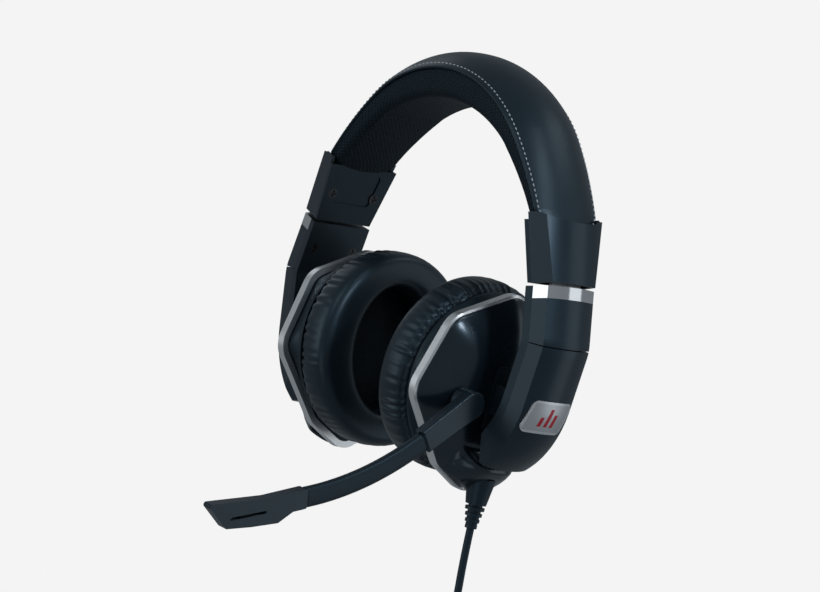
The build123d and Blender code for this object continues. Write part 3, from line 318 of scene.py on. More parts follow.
def soft_box(name, direction, distance, size, brightness, colour=(1, 1, 1)):
    """A rectangular soft box aimed at the headset, with an even brightness over its face."""
    light = bpy.data.lights.new(name, "AREA")
    light.shape = "RECTANGLE"
    light.size, light.size_y = size
    light.energy = brightness * pi * size[0] * size[1]
    light.color = colour
    place = LIGHT_AIM + Vector(direction).normalized() * distance
    lamp = collection_link(bpy.data.objects.new(name, light))
    aim = (LIGHT_AIM - place).to_track_quat("-Z", "Y").to_matrix().to_4x4()
    lamp.matrix_world = Matrix.Translation(place) @ aim
    lamp.visible_camera = False
    return lamp


soft_box("rear_left", (0.72, 0.70, 0.05), 2.2, (0.9, 2.0), 0.62, (0.92, 0.97, 1.0))
soft_box("front_right", (-0.42, -0.90, 0.10), 2.3, (1.3, 1.8), 1.10, (0.92, 0.97, 1.0))
soft_box("key", (0.62, 0.08, 0.77), 2.0, (0.55, 0.55), 3.6, (0.88, 0.95, 1.0))
soft_box("shell_light", (0.90, 0.01, 0.44), 2.0, (0.26, 0.26), 26.0, (0.78, 0.88, 1.0))
soft_box("top_front", (0.30, -0.70, 0.68), 2.0, (0.8, 0.6), 1.7, (0.88, 0.95, 1.0))
soft_box("top_rear", (0.30, 0.62, 0.75), 2.0, (0.9, 0.5), 1.2, (0.88, 0.95, 1.0))
soft_box("left_fill", (-0.95, 0.10, 0.45), 2.2, (1.0, 1.2), 0.5, (0.92, 0.97, 1.0))
soft_box("low_front", (0.35, -0.85, -0.40), 2.6, (1.4, 0.8), 0.60, (0.92, 0.97, 1.0))

# ---------------------------------------------------------------- headband cover
# Smooth black leatherette pulled over foam and stitched down both long edges. It is crowned
# from front to rear, widest over the crown, and tucks into the sleeves at both ends.
SEAM_RISE = 13.8 * MM
CROWN_RADIUS = 64.0 * MM
SIDE_RADIUS = 165.0 * MM
ENTRY_RADIUS = 40.0 * MM
CROWN_ANGLE, SIDE_ANGLE, END_ANGLE = 47.0, 61.8, 75.9
BAND_HALF = 21.4 * MM
BAND_END_HALF = 14.3 * MM
BAND_TAPER = (
    (0.0, BAND_HALF),
    (-37.0 * MM, 18.8 * MM),
    (-42.0 * MM, 15.5 * MM),
    (-46.0 * MM, BAND_END_HALF),
)
TOP_LIFTS = ((0.0, 8.7), (CROWN_ANGLE, 7.5), (SIDE_ANGLE, 4.2), (END_ANGLE, 2.7))
UNDER_LIFTS = ((0.0, -13.8), (CROWN_ANGLE, -9.6), (SIDE_ANGLE, -6.0), (END_ANGLE, -4.0))
BAND_STEPS = 150


def band_point(angle, lift):
    """Point (x, z) of the band at an angle from the crown, at a height over the seam."""
    a = abs(angle)
    x, z, radius = 0.0, SEAM_RISE - CROWN_RADIUS, CROWN_RADIUS
    for stop, next_radius in ((CROWN_ANGLE, SIDE_RADIUS), (SIDE_ANGLE, ENTRY_RADIUS)):
        if a <= stop:
            break
        turn = radians(stop)
        x += (radius - next_radius) * sin(turn)
        z += (radius - next_radius) * cos(turn)
        radius = next_radius
    turn = radians(a)
    x += (radius + lift) * sin(turn)
    return (x if angle >= 0 else -x, z + (radius + lift) * cos(turn))


def lift_at(table, angle):
    """Smooth height in metres between a table's angles, level at the crown."""
    a = abs(angle)
    for (low, first), (high, second) in zip(table, table[1:]):
        if a <= high:
            share = (a - low) / (high - low)
            if low == 0.0:
                share = share * share
            return (first + (second - first) * share) * MM
    return table[-1][1] * MM


def band_half(z):
    """Half the band's width at a height."""
    if z >= 0:
        return BAND_HALF
    for (high, wide), (low, narrow) in zip(BAND_TAPER, BAND_TAPER[1:]):
        if z >= low:
            return wide + (narrow - wide) * (high - z) / (high - low)
    return BAND_END_HALF


def band_angles():
    """Angles at even steps along the seam."""
    lengths = [(CROWN_ANGLE, CROWN_RADIUS), (SIDE_ANGLE, SIDE_RADIUS), (END_ANGLE, ENTRY_RADIUS)]
    ends, total, low = [], 0.0, 0.0
    for high, radius in lengths:
        total += radians(high - low) * radius
        ends.append((total, high, radius))
        low = high
    angles = []
    for n in range(-BAND_STEPS, BAND_STEPS + 1):
        along = abs(n) / BAND_STEPS * total
        start, low = 0.0, 0.0
        for end, high, radius in ends:
            if along <= end + 1e-9:
                angle = low + degrees((along - start) / radius)
                break
            start, low = end, high
        angles.append((angle if n >= 0 else -angle, along if n >= 0 else -along))
    return angles


def loft_sections(sections, capped=True):
    """Vertices and faces of a skin over closed loops of equal count, ends closed."""
    count = len(sections[0])
    places = [p for section in sections for p in section]
    faces = []
    for n in range(len(sections) - 1):
        for k in range(count):
            a, b = n * count + k, n * count + (k + 1) % count
            faces.append((a, b, b + count, a + count))
    if capped:
        faces.append(tuple(reversed(range(count))))
        last = (len(sections) - 1) * count
        faces.append(tuple(last + k for k in range(count)))
    return places, faces


def mesh_piece(name, places, faces, material, smooth=True):
    """A new mesh object with outward normals."""
    mesh = bpy.data.meshes.new(name)
    mesh.from_pydata([tuple(p) for p in places], [], faces)
    build = bmesh.new()
    build.from_mesh(mesh)
    bmesh.ops.recalc_face_normals(build, faces=build.faces)
    build.to_mesh(mesh)
    build.free()
    for face in mesh.polygons:
        face.use_smooth = smooth
    mesh.materials.append(material)
    return collection_link(bpy.data.objects.new(name, mesh))


def cover_section(angle):
    _, z0 = band_point(angle, 0.0)
    half = band_half(z0)
    top = lift_at(TOP_LIFTS, angle)
    places = []
    for k in range(41):
        t = -1.0 + k / 20.0
        lift = top * (1 - abs(t) ** 2.3)
        dip = 0.35 * MM * (1 if 0.90 < abs(t) < 0.95 else 0)
        places.append((t * half, lift - dip))
    places += [(half + 0.2 * MM, -0.5 * MM), (half - 0.3 * MM, -1.0 * MM), (half - 1.4 * MM, -1.1 * MM)]
    places += [(-half + 1.4 * MM, -1.1 * MM), (-half + 0.3 * MM, -1.0 * MM), (-half - 0.2 * MM, -0.5 * MM)]
    ring = []
    for y, lift in places:
        x, z = band_point(angle, lift)
        ring.append((x, y, z))
    return ring


leatherette = surface(
    "leatherette", (0.0075, 0.0150, 0.0225), (0.0100, 0.0180, 0.0255), leather_grain, 1100.0, 0.40, 0.06,
    depth=0.000018, coat=0.25, coat_roughness=0.30,
)
angles = band_angles()
places, faces = loft_sections([cover_section(a) for a, _ in angles])
cover = mesh_piece("band_cover", places, faces, leatherette)
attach(cover, "headband")
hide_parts("headband_cover")

# ---------------------------------------------------------------- headband pad
# The soft lining under the band: foam in leatherette punched with rows of small holes. It is
# thick over the crown, thins towards the sleeves, and meets the cover at the stitched edge.
PAD_HALF = 20.1 * MM
PUNCH_PITCH = 2.3 * MM
PUNCH_RADIUS = 0.30


def pad_section(angle):
    _, z0 = band_point(angle, 0.0)
    half = min(PAD_HALF, band_half(z0) - 0.7 * MM)
    low = lift_at(UNDER_LIFTS, angle)
    rounding = min(4.5 * MM, -low * 0.62)
    puff = 0.7 * MM
    places = [(-half + 1.0 * MM, -0.7 * MM), (half - 1.0 * MM, -0.7 * MM), (half, -0.9 * MM)]
    sides = []
    for k in range(1, 8):
        s = k / 8
        sides.append((half + puff * sin(pi * s) * 0.6, -0.9 * MM + (low + rounding + 0.9 * MM) * s))
    for k in range(8):
        turn = pi / 2 * k / 7
        sides.append((half - rounding + rounding * cos(turn), low + rounding - rounding * sin(turn)))
    places += sides
    flat = half - rounding
    for k in range(1, 10):
        t = 1 - 2 * k / 10
        places.append((flat * t, low - 0.5 * MM * (1 - t * t)))
    places += [(-y, lift) for y, lift in reversed(sides)]
    places.append((-half, -0.9 * MM))
    return places


def pad_ring(angle):
    ring = []
    for y, lift in pad_section(angle):
        x, z = band_point(angle, lift)
        ring.append((x, y, z))
    return ring


def punched_surface():
    """Leatherette with staggered rows of small holes, laid out on the piece's own UV map."""
    material, tree, shader = new_surface("perforated_leatherette", 0.58)
    uv = tree.nodes.new("ShaderNodeUVMap")
    uv.uv_map = "panel"
    masks = []
    for shift in (0.0, 0.5):
        cell = tree.nodes.new("ShaderNodeVectorMath")
        cell.operation = "MULTIPLY_ADD"
        cell.inputs[1].default_value = (1 / PUNCH_PITCH, 1 / PUNCH_PITCH, 0)
        cell.inputs[2].default_value = (shift, shift, 0)
        tree.links.new(uv.outputs[0], cell.inputs[0])
        part = tree.nodes.new("ShaderNodeVectorMath")
        part.operation = "FRACTION"
        tree.links.new(cell.outputs[0], part.inputs[0])
        from_middle = tree.nodes.new("ShaderNodeVectorMath")
        from_middle.operation = "SUBTRACT"
        from_middle.inputs[1].default_value = (0.5, 0.5, 0)
        tree.links.new(part.outputs[0], from_middle.inputs[0])
        size = tree.nodes.new("ShaderNodeVectorMath")
        size.operation = "LENGTH"
        tree.links.new(from_middle.outputs[0], size.inputs[0])
        edge = tree.nodes.new("ShaderNodeMapRange")
        edge.inputs["From Min"].default_value = PUNCH_RADIUS
        edge.inputs["From Max"].default_value = PUNCH_RADIUS * 0.6
        tree.links.new(size.outputs["Value"], edge.inputs["Value"])
        masks.append(edge.outputs[0])
    either = tree.nodes.new("ShaderNodeMath")
    either.operation = "MAXIMUM"
    tree.links.new(masks[0], either.inputs[0])
    tree.links.new(masks[1], either.inputs[1])
    grain = tree.nodes.new("ShaderNodeGroup")
    grain.node_tree = leather_grain
    grain.inputs["Scale"].default_value = 900.0
    place = tree.nodes.new("ShaderNodeTexCoord")
    tree.links.new(place.outputs["Object"], grain.inputs["Vector"])
    # The punched holes are coloured near black: the dark foam showing through them, plus painted shade
    # standing in for the depth of each hole.
    tint = colour_mix(tree, (0.0062, 0.0115, 0.0170, 1), (0.0008, 0.0010, 0.0013, 1))
    tree.links.new(either.outputs[0], tint.inputs["Factor"])
    tree.links.new(tint.outputs["Result"], shader.inputs["Base Color"])
    height = tree.nodes.new("ShaderNodeMath")
    height.operation = "MULTIPLY_ADD"
    height.inputs[1].default_value = -6.0
    tree.links.new(either.outputs[0], height.inputs[0])
    tree.links.new(grain.outputs["Height"], height.inputs[2])
    add_bump(tree, shader, height.outputs[0], 0.00008)
    return material


def add_uv(piece, name, around, alongs, count):
    """UV in metres: along the piece, and around each closed section."""
    layer = piece.data.uv_layers.new(name=name)
    for face in piece.data.polygons:
        rows = {piece.data.loops[i].vertex_index % count for i in face.loop_indices}
        wraps = 0 in rows and count - 1 in rows and len(rows) == 2
        for i in face.loop_indices:
            vertex = piece.data.loops[i].vertex_index
            row, column = divmod(vertex, count)
            v = around[row][column]
            if wraps and column == 0:
                v = around[row][count]
            layer.data[i].uv = (alongs[row], v)


punched = punched_surface()
rings = [pad_ring(a) for a, _ in angles]
places, faces = loft_sections(rings)
pad = mesh_piece("band_pad", places, faces, punched)
around = []
for ring in rings:
    run, values = 0.0, [0.0]
    for first, second in zip(ring, ring[1:] + ring[:1]):
        run += (Vector(second) - Vector(first)).length
        values.append(run)
    around.append([v - run / 2 for v in values])
add_uv(pad, "panel", around, [along for _, along in angles], len(rings[0]))
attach(pad, "headband")
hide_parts("headband_pad")

# ---------------------------------------------------------------- headband stitches
# A row of pale grey thread runs a little in from each long edge of the cover, front and rear,
# from sleeve to sleeve. Each stitch is a short slightly sunken dash.
STITCH_LENGTH = 1.5 * MM
STITCH_PITCH = 2.5 * MM
STITCH_THICKNESS = 0.56 * MM
STITCH_FROM_EDGE = 0.075

thread = surface(
    "stitch_thread", (0.80, 0.82, 0.84), (0.62, 0.64, 0.67), moulded_grain, 2500.0, 0.7, 0.1, depth=0.00008
)


def freeze(piece):
    """Make what the modifiers give the piece's own mesh, shaded smooth."""
    made = bpy.data.meshes.new_from_object(piece.evaluated_get(bpy.context.evaluated_depsgraph_get()))
    piece.modifiers.clear()
    piece.data = made
    for face in made.polygons:
        face.use_smooth = True


def stitch_row(name, side):
    """Geometry Nodes: even dashes along a line, turned to follow it, made a plain mesh."""
    line = bpy.data.meshes.new(name + "_line")
    points = []
    for angle, _ in angles[6:-6]:
        _, z0 = band_point(angle, 0.0)
        t = 1 - STITCH_FROM_EDGE
        lift = lift_at(TOP_LIFTS, angle) * (1 - t**2.3) + 0.02 * MM
        x, z = band_point(angle, lift)
        points.append((x, side * band_half(z0) * t, z))
    line.from_pydata(points, [(n, n + 1) for n in range(len(points) - 1)], [])
    piece = collection_link(bpy.data.objects.new(name, line))
    tree = bpy.data.node_groups.new(name + "_layout", "GeometryNodeTree")
    tree.interface.new_socket("Geometry", in_out="INPUT", socket_type="NodeSocketGeometry")
    pitch = tree.interface.new_socket("Pitch", in_out="INPUT", socket_type="NodeSocketFloat")
    tree.interface.new_socket("Geometry", in_out="OUTPUT", socket_type="NodeSocketGeometry")
    start, end = tree.nodes.new("NodeGroupInput"), tree.nodes.new("NodeGroupOutput")
    to_curve = tree.nodes.new("GeometryNodeMeshToCurve")
    even = tree.nodes.new("GeometryNodeResampleCurve")
    even.mode = "LENGTH"
    dots = tree.nodes.new("GeometryNodeCurveToPoints")
    dots.mode = "EVALUATED"
    dash = tree.nodes.new("GeometryNodeMeshUVSphere")
    dash.inputs["Segments"].default_value = 8
    dash.inputs["Rings"].default_value = 6
    dash.inputs["Radius"].default_value = 0.5
    shape = tree.nodes.new("GeometryNodeTransform")
    shape.inputs["Scale"].default_value = (STITCH_THICKNESS * 1.5, STITCH_THICKNESS, STITCH_LENGTH)
    spread = tree.nodes.new("GeometryNodeInstanceOnPoints")
    real = tree.nodes.new("GeometryNodeRealizeInstances")
    paint_it = tree.nodes.new("GeometryNodeSetMaterial")
    paint_it.inputs["Material"].default_value = thread
    link = tree.links.new
    link(start.outputs["Geometry"], to_curve.inputs[0])
    link(to_curve.outputs[0], even.inputs["Curve"])
    link(start.outputs["Pitch"], even.inputs["Length"])
    link(even.outputs[0], dots.inputs["Curve"])
    link(dots.outputs["Points"], spread.inputs["Points"])
    link(dots.outputs["Rotation"], spread.inputs["Rotation"])
    link(dash.outputs["Mesh"], shape.inputs["Geometry"])
    link(shape.outputs[0], spread.inputs["Instance"])
    link(spread.outputs[0], real.inputs[0])
    link(real.outputs[0], paint_it.inputs["Geometry"])
    link(paint_it.outputs[0], end.inputs[0])
    modifier = piece.modifiers.new("layout", "NODES")
    modifier.node_group = tree
    modifier[pitch.identifier] = STITCH_PITCH
    freeze(piece)
    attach(piece, "headband")
    return piece


stitch_row("stitches_front", -1)
stitch_row("stitches_rear", 1)


# ---------------------------------------------------------------- sleeves and arms
# Two-part moulded caps and limbs in blue-black ABS with a satin gloss on the outer faces and a
# fine spark-eroded grain inside; a chrome-plated band marks where the arm slides out.
def give(material, *nodes):
    """A CAD node takes a material on all its slots."""
    for node in nodes:
        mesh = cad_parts[node].data
        mesh.materials.clear()
        mesh.materials.append(material)


def both(*nodes):
    return [f"{side}_{node}" for side in ("left", "right") for node in nodes]


satin_plastic = surface(
    "satin_plastic", (0.0070, 0.0140, 0.0210), (0.0090, 0.0165, 0.0240), moulded_grain, 260.0, 0.34, 0.06,
    depth=0.000012, coat=0.30, coat_roughness=0.20,
)
inner_plastic = surface(
    "inner_plastic", (0.0070, 0.0135, 0.0195), (0.0095, 0.0165, 0.0230), moulded_grain, 1400.0, 0.42, 0.08,
    depth=0.00002, coat=0.15, coat_roughness=0.3,
)
give(satin_plastic, *both("sleeve_shell", "arm_upper_cover", "arm_lower_cover"))
give(inner_plastic, *both("sleeve_plate", "arm_inner_cover", "cup_bracket"))
give(inner_plastic, *both("pivot_block", "baffle", "cushion_ring"))

chrome = surface(
    "chrome", (0.90, 0.91, 0.92), (0.84, 0.85, 0.87), moulded_grain, 120.0, 0.09, 0.04,
    depth=0.000004, metallic=1.0,
)
give(chrome, *both("chrome_band"))

# ---------------------------------------------------------------- sheet steel parts and screws
# Sprung and pressed steel: the band's spring, the slider straps, the pivot yokes and pins, with
# the mill's fine grain; the cross-head screws are black-oxide steel.
steel = surface(
    "steel", (0.50, 0.50, 0.51), (0.36, 0.36, 0.38), moulded_grain, 700.0, 0.34, 0.12,
    depth=0.00003, metallic=1.0,
)
give(steel, "spring_band", *both("slider_strap", "pivot_yoke", "tilt_pin", "driver_frame"))
screw_steel = surface(
    "screw", (0.045, 0.046, 0.050), (0.09, 0.09, 0.095), moulded_grain, 1600.0, 0.30, 0.15,
    depth=0.00003, metallic=0.9,
)
give(screw_steel, "sleeve_screws", *both("arm_screws"))

# ---------------------------------------------------------------- badge
# A satin silver plate let into each arm over the pivot, with a bright bevelled rim. A plain
# three-bar level mark in red enamel is printed on it.
BADGE_CENTRE_Z = -0.1255
BADGE_FACE = (0.0108, 0.0064)  # half the flat face inside the bevelled rim
BADGE_SLANT = 0.2
BAR_HALF, TALLEST_BAR = 0.0010, 0.0042
BARS = ((-0.0036, 0.0022), (0.0, TALLEST_BAR), (0.0036, 0.0030))  # middle and half height


def badge_surface():
    material, tree, shader = new_surface("badge", 0.3, metallic=1.0)
    place = tree.nodes.new("ShaderNodeTexCoord")
    split = tree.nodes.new("ShaderNodeSeparateXYZ")
    tree.links.new(place.outputs["Object"], split.inputs[0])

    def maths(operation, *values):
        node = tree.nodes.new("ShaderNodeMath")
        node.operation = operation
        for socket, value in zip(node.inputs, values):
            if isinstance(value, (int, float)):
                socket.default_value = value
            else:
                tree.links.new(value, socket)
        return node.outputs[0]

    across = split.outputs["Y"]
    up = maths("SUBTRACT", split.outputs["Z"], BADGE_CENTRE_Z)
    slanted = maths("SUBTRACT", across, maths("MULTIPLY", up, BADGE_SLANT))
    bars = None
    for middle, half_height in BARS:
        from_bar = maths("ABSOLUTE", maths("SUBTRACT", slanted, middle))
        lifted = maths("ABSOLUTE", maths("SUBTRACT", up, half_height - TALLEST_BAR))
        in_width, in_height = maths("LESS_THAN", from_bar, BAR_HALF), maths("LESS_THAN", lifted, half_height)
        inside = maths("MULTIPLY", in_width, in_height)
        bars = inside if bars is None else maths("MAXIMUM", bars, inside)
    grain = tree.nodes.new("ShaderNodeTexNoise")
    stretch = tree.nodes.new("ShaderNodeMapping")
    stretch.inputs["Scale"].default_value = (200, 200, 9000)
    tree.links.new(place.outputs["Object"], stretch.inputs[0])
    tree.links.new(stretch.outputs[0], grain.inputs["Vector"])
    silver = tree.nodes.new("ShaderNodeMix")
    silver.data_type = "RGBA"
    silver.inputs["A"].default_value = (0.62, 0.64, 0.66, 1)
    silver.inputs["B"].default_value = (0.78, 0.80, 0.82, 1)
    tree.links.new(grain.outputs["Fac"], silver.inputs["Factor"])
    marked = tree.nodes.new("ShaderNodeMix")
    marked.data_type = "RGBA"
    marked.inputs["B"].default_value = (0.50, 0.012, 0.03, 1)
    tree.links.new(bars, marked.inputs["Factor"])
    past_side = maths("GREATER_THAN", maths("ABSOLUTE", slanted), BADGE_FACE[0])
    past_edge = maths("GREATER_THAN", maths("ABSOLUTE", up), BADGE_FACE[1])
    rim = tree.nodes.new("ShaderNodeMix")
    rim.data_type = "RGBA"
    rim.inputs["B"].default_value = (0.95, 0.96, 0.97, 1)
    tree.links.new(maths("MAXIMUM", past_side, past_edge), rim.inputs["Factor"])
    tree.links.new(silver.outputs["Result"], rim.inputs["A"])
    tree.links.new(rim.outputs["Result"], marked.inputs["A"])
    tree.links.new(marked.outputs["Result"], shader.inputs["Base Color"])
    metal = maths("SUBTRACT", 1.0, bars)
    tree.links.new(metal, shader.inputs["Metallic"])
    rough = tree.nodes.new("ShaderNodeMapRange")
    rough.inputs["To Min"].default_value = 0.22
    rough.inputs["To Max"].default_value = 0.38
    tree.links.new(grain.outputs["Fac"], rough.inputs["Value"])
    tree.links.new(rough.outputs[0], shader.inputs["Roughness"])
    add_bump(tree, shader, grain.outputs["Fac"], 0.00002)
    return material


give(badge_surface(), *both("badge"))

# ---------------------------------------------------------------- ear cups
# Black piano-gloss shells over a matt baffle. A silver-painted ring follows the eight-cornered
# outline between shell and baffle.
gloss_plastic = surface(
    "gloss_plastic", (0.0060, 0.0115, 0.0175), (0.0075, 0.0135, 0.0200), moulded_grain, 90.0, 0.28, 0.05,
    depth=0.000006, coat=0.7, coat_roughness=0.17,
)
CUP_X, CUP_Z = 0.0456, -0.12384
CUP_LEAN = radians(4.58)
CUP_CORNERS = [(0, 47.5), (34.5, 33.5), (47.5, -1.5), (21.0, -34.5)]
CUP_CORNERS += [(0, -46.0), (-21.0, -34.5), (-47.5, -1.5), (-34.5, 33.5)]
CUP_ROUNDING = 12.0
SHELL_FOOT, SHELL_RISE, SHELL_CROWN, SHELL_INSET = 2.2, 8.9, 1.0, 1.0
CHIN_LINE = [(-46.0, 2.2), (-43.0, 5.8), (-40.0, 10.2), (-37.0, 14.0)]
CHIN_LINE += [(-34.0, 17.2), (-30.6, 19.6), (-28.6, 19.0)]
CHIN_TOP, CHIN_HALF = -18.0, 16.5
PIVOT_OUT, PIVOT_RISE, TOE_ROOM = 28.9, 1.15, 30.6
SHELL_RINGS, SHELL_AROUND, SHELL_WALL = 48, 168, 1.6 * MM


def cup_place(y, rise, out, side=1):
    """Row-frame point from a cup's own frame: front to rear, up, and outwards, in metres."""
    x = CUP_X + out * cos(CUP_LEAN) + rise * sin(CUP_LEAN)
    return (side * x, y, CUP_Z - out * sin(CUP_LEAN) + rise * cos(CUP_LEAN))


def rounded_outline(corners, radius, steps):
    """Points round a polygon whose corners are arcs, in millimetres."""
    points = []
    count = len(corners)
    for n in range(count):
        before, at, after = (Vector(corners[(n + k) % count]) for k in (-1, 0, 1))
        first, second = (before - at).normalized(), (after - at).normalized()
        half = first.angle(second) / 2
        middle = at + (first + second).normalized() * (radius / sin(half))
        start, stop = at + first * (radius / tan_of(half)), at + second * (radius / tan_of(half))
        turn_from, turn_to = start - middle, stop - middle
        for k in range(steps + 1):
            points.append(middle + turn_from.slerp(turn_to, k / steps) * radius)
    return points


def tan_of(angle):
    return sin(angle) / cos(angle)


def even_loop(points, count):
    """The same closed line with evenly spaced points, the first where the line starts."""
    closed = points + points[:1]
    run = [0.0]
    for first, second in zip(closed, closed[1:]):
        run.append(run[-1] + (second - first).length)
    even, k = [], 0
    for n in range(count):
        target = run[-1] * n / count
        while run[k + 1] < target:
            k += 1
        share = (target - run[k]) / max(run[k + 1] - run[k], 1e-9)
        even.append(closed[k].lerp(closed[k + 1], share))
    return even


def chin_height(rise):
    """How far out the shell's lower lip reaches at a height, clear of the arm's toe."""
    if rise <= CHIN_LINE[0][0]:
        return CHIN_LINE[0][1]
    height = None
    for (low, first), (high, second) in zip(CHIN_LINE, CHIN_LINE[1:]):
        if low <= rise <= high:
            height = first + (second - first) * (rise - low) / (high - low)
    if height is None:
        height = CHIN_LINE[-1][1]
    gap = TOE_ROOM**2 - (rise - PIVOT_RISE) ** 2
    if gap > 0:
        height = min(height, PIVOT_OUT - sqrt(gap))
    return height


def shell_height(y, rise, share):
    """The dome rises softly from its edge; the lip swells out of it below."""
    swell = sin(min(1.0, share / 0.62) * pi / 2) ** 0.85
    dome = SHELL_FOOT + SHELL_RISE * swell + SHELL_CROWN * (1 - (1 - share) ** 2)
    if rise < CHIN_TOP:
        across = max(0.0, 1 - (abs(y) / CHIN_HALF) ** 3)
        lip = chin_height(rise)
        if lip > dome:
            dome += (lip - dome) * across**0.8
    return dome


def cup_shell(side):
    outline = even_loop(rounded_outline(CUP_CORNERS, CUP_ROUNDING, 8), SHELL_AROUND)
    scale = 1 - SHELL_INSET / 45.0
    places = []
    for ring in range(SHELL_RINGS):
        share = (ring / SHELL_RINGS) ** 1.15
        for point in outline:
            y, rise = point.x * scale * (1 - share), point.y * scale * (1 - share)
            places.append(cup_place(y * MM, rise * MM, shell_height(y, rise, share) * MM, side))
    places.append(cup_place(0, 0, shell_height(0, 0, 1.0) * MM, side))
    faces = []
    for ring in range(SHELL_RINGS - 1):
        for k in range(SHELL_AROUND):
            a, b = ring * SHELL_AROUND + k, ring * SHELL_AROUND + (k + 1) % SHELL_AROUND
            faces.append((a, b, b + SHELL_AROUND, a + SHELL_AROUND))
    last = (SHELL_RINGS - 1) * SHELL_AROUND
    for k in range(SHELL_AROUND):
        faces.append((last + k, last + (k + 1) % SHELL_AROUND, SHELL_RINGS * SHELL_AROUND))
    word = "left" if side > 0 else "right"
    shell = mesh_piece(f"{word}_shell", places, faces, gloss_plastic)
    middle = shell.data.polygons[-1].normal.x * side
    if middle < 0:
        shell.data.flip_normals()
    wall = shell.modifiers.new("wall", "SOLIDIFY")
    wall.thickness = SHELL_WALL
    wall.offset = -1.0
    freeze(shell)
    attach(shell, f"{word}_cup")
    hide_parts(f"{word}_cup_shell")


cup_shell(1)
cup_shell(-1)
trim_paint = surface(
    "trim", (0.88, 0.89, 0.90), (0.93, 0.94, 0.95), moulded_grain, 2200.0, 0.34, 0.08,
    depth=0.000008, metallic=0.9, coat=0.3, coat_roughness=0.15,
)
give(trim_paint, *both("trim_ring"))
film = surface(
    "diaphragm", (0.35, 0.33, 0.30), (0.42, 0.40, 0.37), moulded_grain, 800.0, 0.3, 0.1, depth=0.00002
)
give(film, *both("diaphragm"))

# ---------------------------------------------------------------- ear cushions
# Round foam rings in smooth leatherette. The cover is gathered where it is sewn to its back, so
# the outer wall puckers near the cup, and it is smooth where it meets the head.
CUSHION_RISE = 3.9 * MM
CUSHION_BACK, CUSHION_FRONT = -8.6 * MM, -28.6 * MM
CUSHION_OUTER = 44.6 * MM
EAR_HALF = (22.5 * MM, 28.5 * MM)
AROUND, THROUGH = 96, 28
GATHERS = 62
GATHER_DEPTH = 1.3 * MM
SEAM_IN, SEAM_HALF, SEAM_DEPTH = 2.6 * MM, 0.9 * MM, 0.7 * MM


def power(value, exponent):
    return abs(value) ** exponent * (1 if value >= 0 else -1)


def cushion_rings():
    """Closed sections of the ring, in the cup's frame."""
    rings = []
    middle_out = (CUSHION_BACK + CUSHION_FRONT) / 2
    half_out = (CUSHION_BACK - CUSHION_FRONT) / 2 - 0.3 * MM
    for n in range(AROUND):
        turn = tau * n / AROUND
        inner = 1 / sqrt((cos(turn) / EAR_HALF[0]) ** 2 + (sin(turn) / EAR_HALF[1]) ** 2)
        ring = []
        for k in range(THROUGH):
            s = tau * k / THROUGH
            radius = (inner + CUSHION_OUTER) / 2 + (CUSHION_OUTER - inner) / 2 * power(cos(s), 0.62)
            out = middle_out + half_out * power(sin(s), 0.68)
            ring.append((radius * cos(turn), CUSHION_RISE + radius * sin(turn), out))
        rings.append(ring)
    return rings


def puff(piece, pinned, cap, frames=20):
    """Blow a closed cover up with cloth, keep each point within a cap, and leave a plain mesh."""
    rest = [v.co.copy() for v in piece.data.vertices]
    group = piece.vertex_groups.new(name="sewn")
    for index, place in enumerate(rest):
        if pinned(place):
            group.add([index], 1.0, "ADD")
    cloth = piece.modifiers.new("cloth", "CLOTH")
    settings = cloth.settings
    settings.use_pressure = True
    settings.uniform_pressure_force = 4.0
    settings.vertex_group_mass = "sewn"
    settings.tension_stiffness = 20.0
    settings.compression_stiffness = 20.0
    settings.bending_stiffness = 1.0
    settings.mass = 0.25
    settings.effector_weights.gravity = 0.0
    cloth.collision_settings.use_collision = False
    scene = bpy.context.scene
    cloth.point_cache.frame_start = 1
    cloth.point_cache.frame_end = frames
    for frame_number in range(1, frames + 1):
        scene.frame_set(frame_number)
    evaluated = piece.evaluated_get(bpy.context.evaluated_depsgraph_get())
    moved = [v.co.copy() for v in evaluated.data.vertices]
    piece.modifiers.clear()
    scene.frame_set(1)
    for vertex, first, last in zip(piece.data.vertices, rest, moved):
        step = last - first
        if step.length > cap:
            step *= cap / step.length
        vertex.co = first + step
    piece.vertex_groups.clear()


def subdivide(piece, levels):
    modifier = piece.modifiers.new("smooth", "SUBSURF")
    modifier.levels = levels
    modifier.render_levels = levels
    freeze(piece)


def gather(place, phases):
    """Puckers in the cover's outer wall, deepest at the sewn edge, none on the face."""
    radius = sqrt(place.x**2 + (place.y - CUSHION_RISE) ** 2)
    if radius < 30 * MM:
        return 0.0
    turn = atan2(place.y - CUSHION_RISE, place.x)
    depth_in = (CUSHION_BACK - place.z) / (20 * MM)
    reach = max(0.0, 1.0 - depth_in / 0.85)
    wave = sin(GATHERS * turn + 1.6 * sin(7 * turn + phases[0]) + phases[1])
    wave += 0.55 * sin(1.37 * GATHERS * turn + 2.1 * sin(5 * turn + phases[2]))
    strength = 0.75 + 0.35 * sin(9 * turn + phases[3]) + 0.2 * sin(23 * turn + phases[1])
    outside = min(1.0, (radius - 30 * MM) / (8 * MM))
    return -GATHER_DEPTH * (0.5 + 0.5 * wave) * strength * reach**1.3 * outside


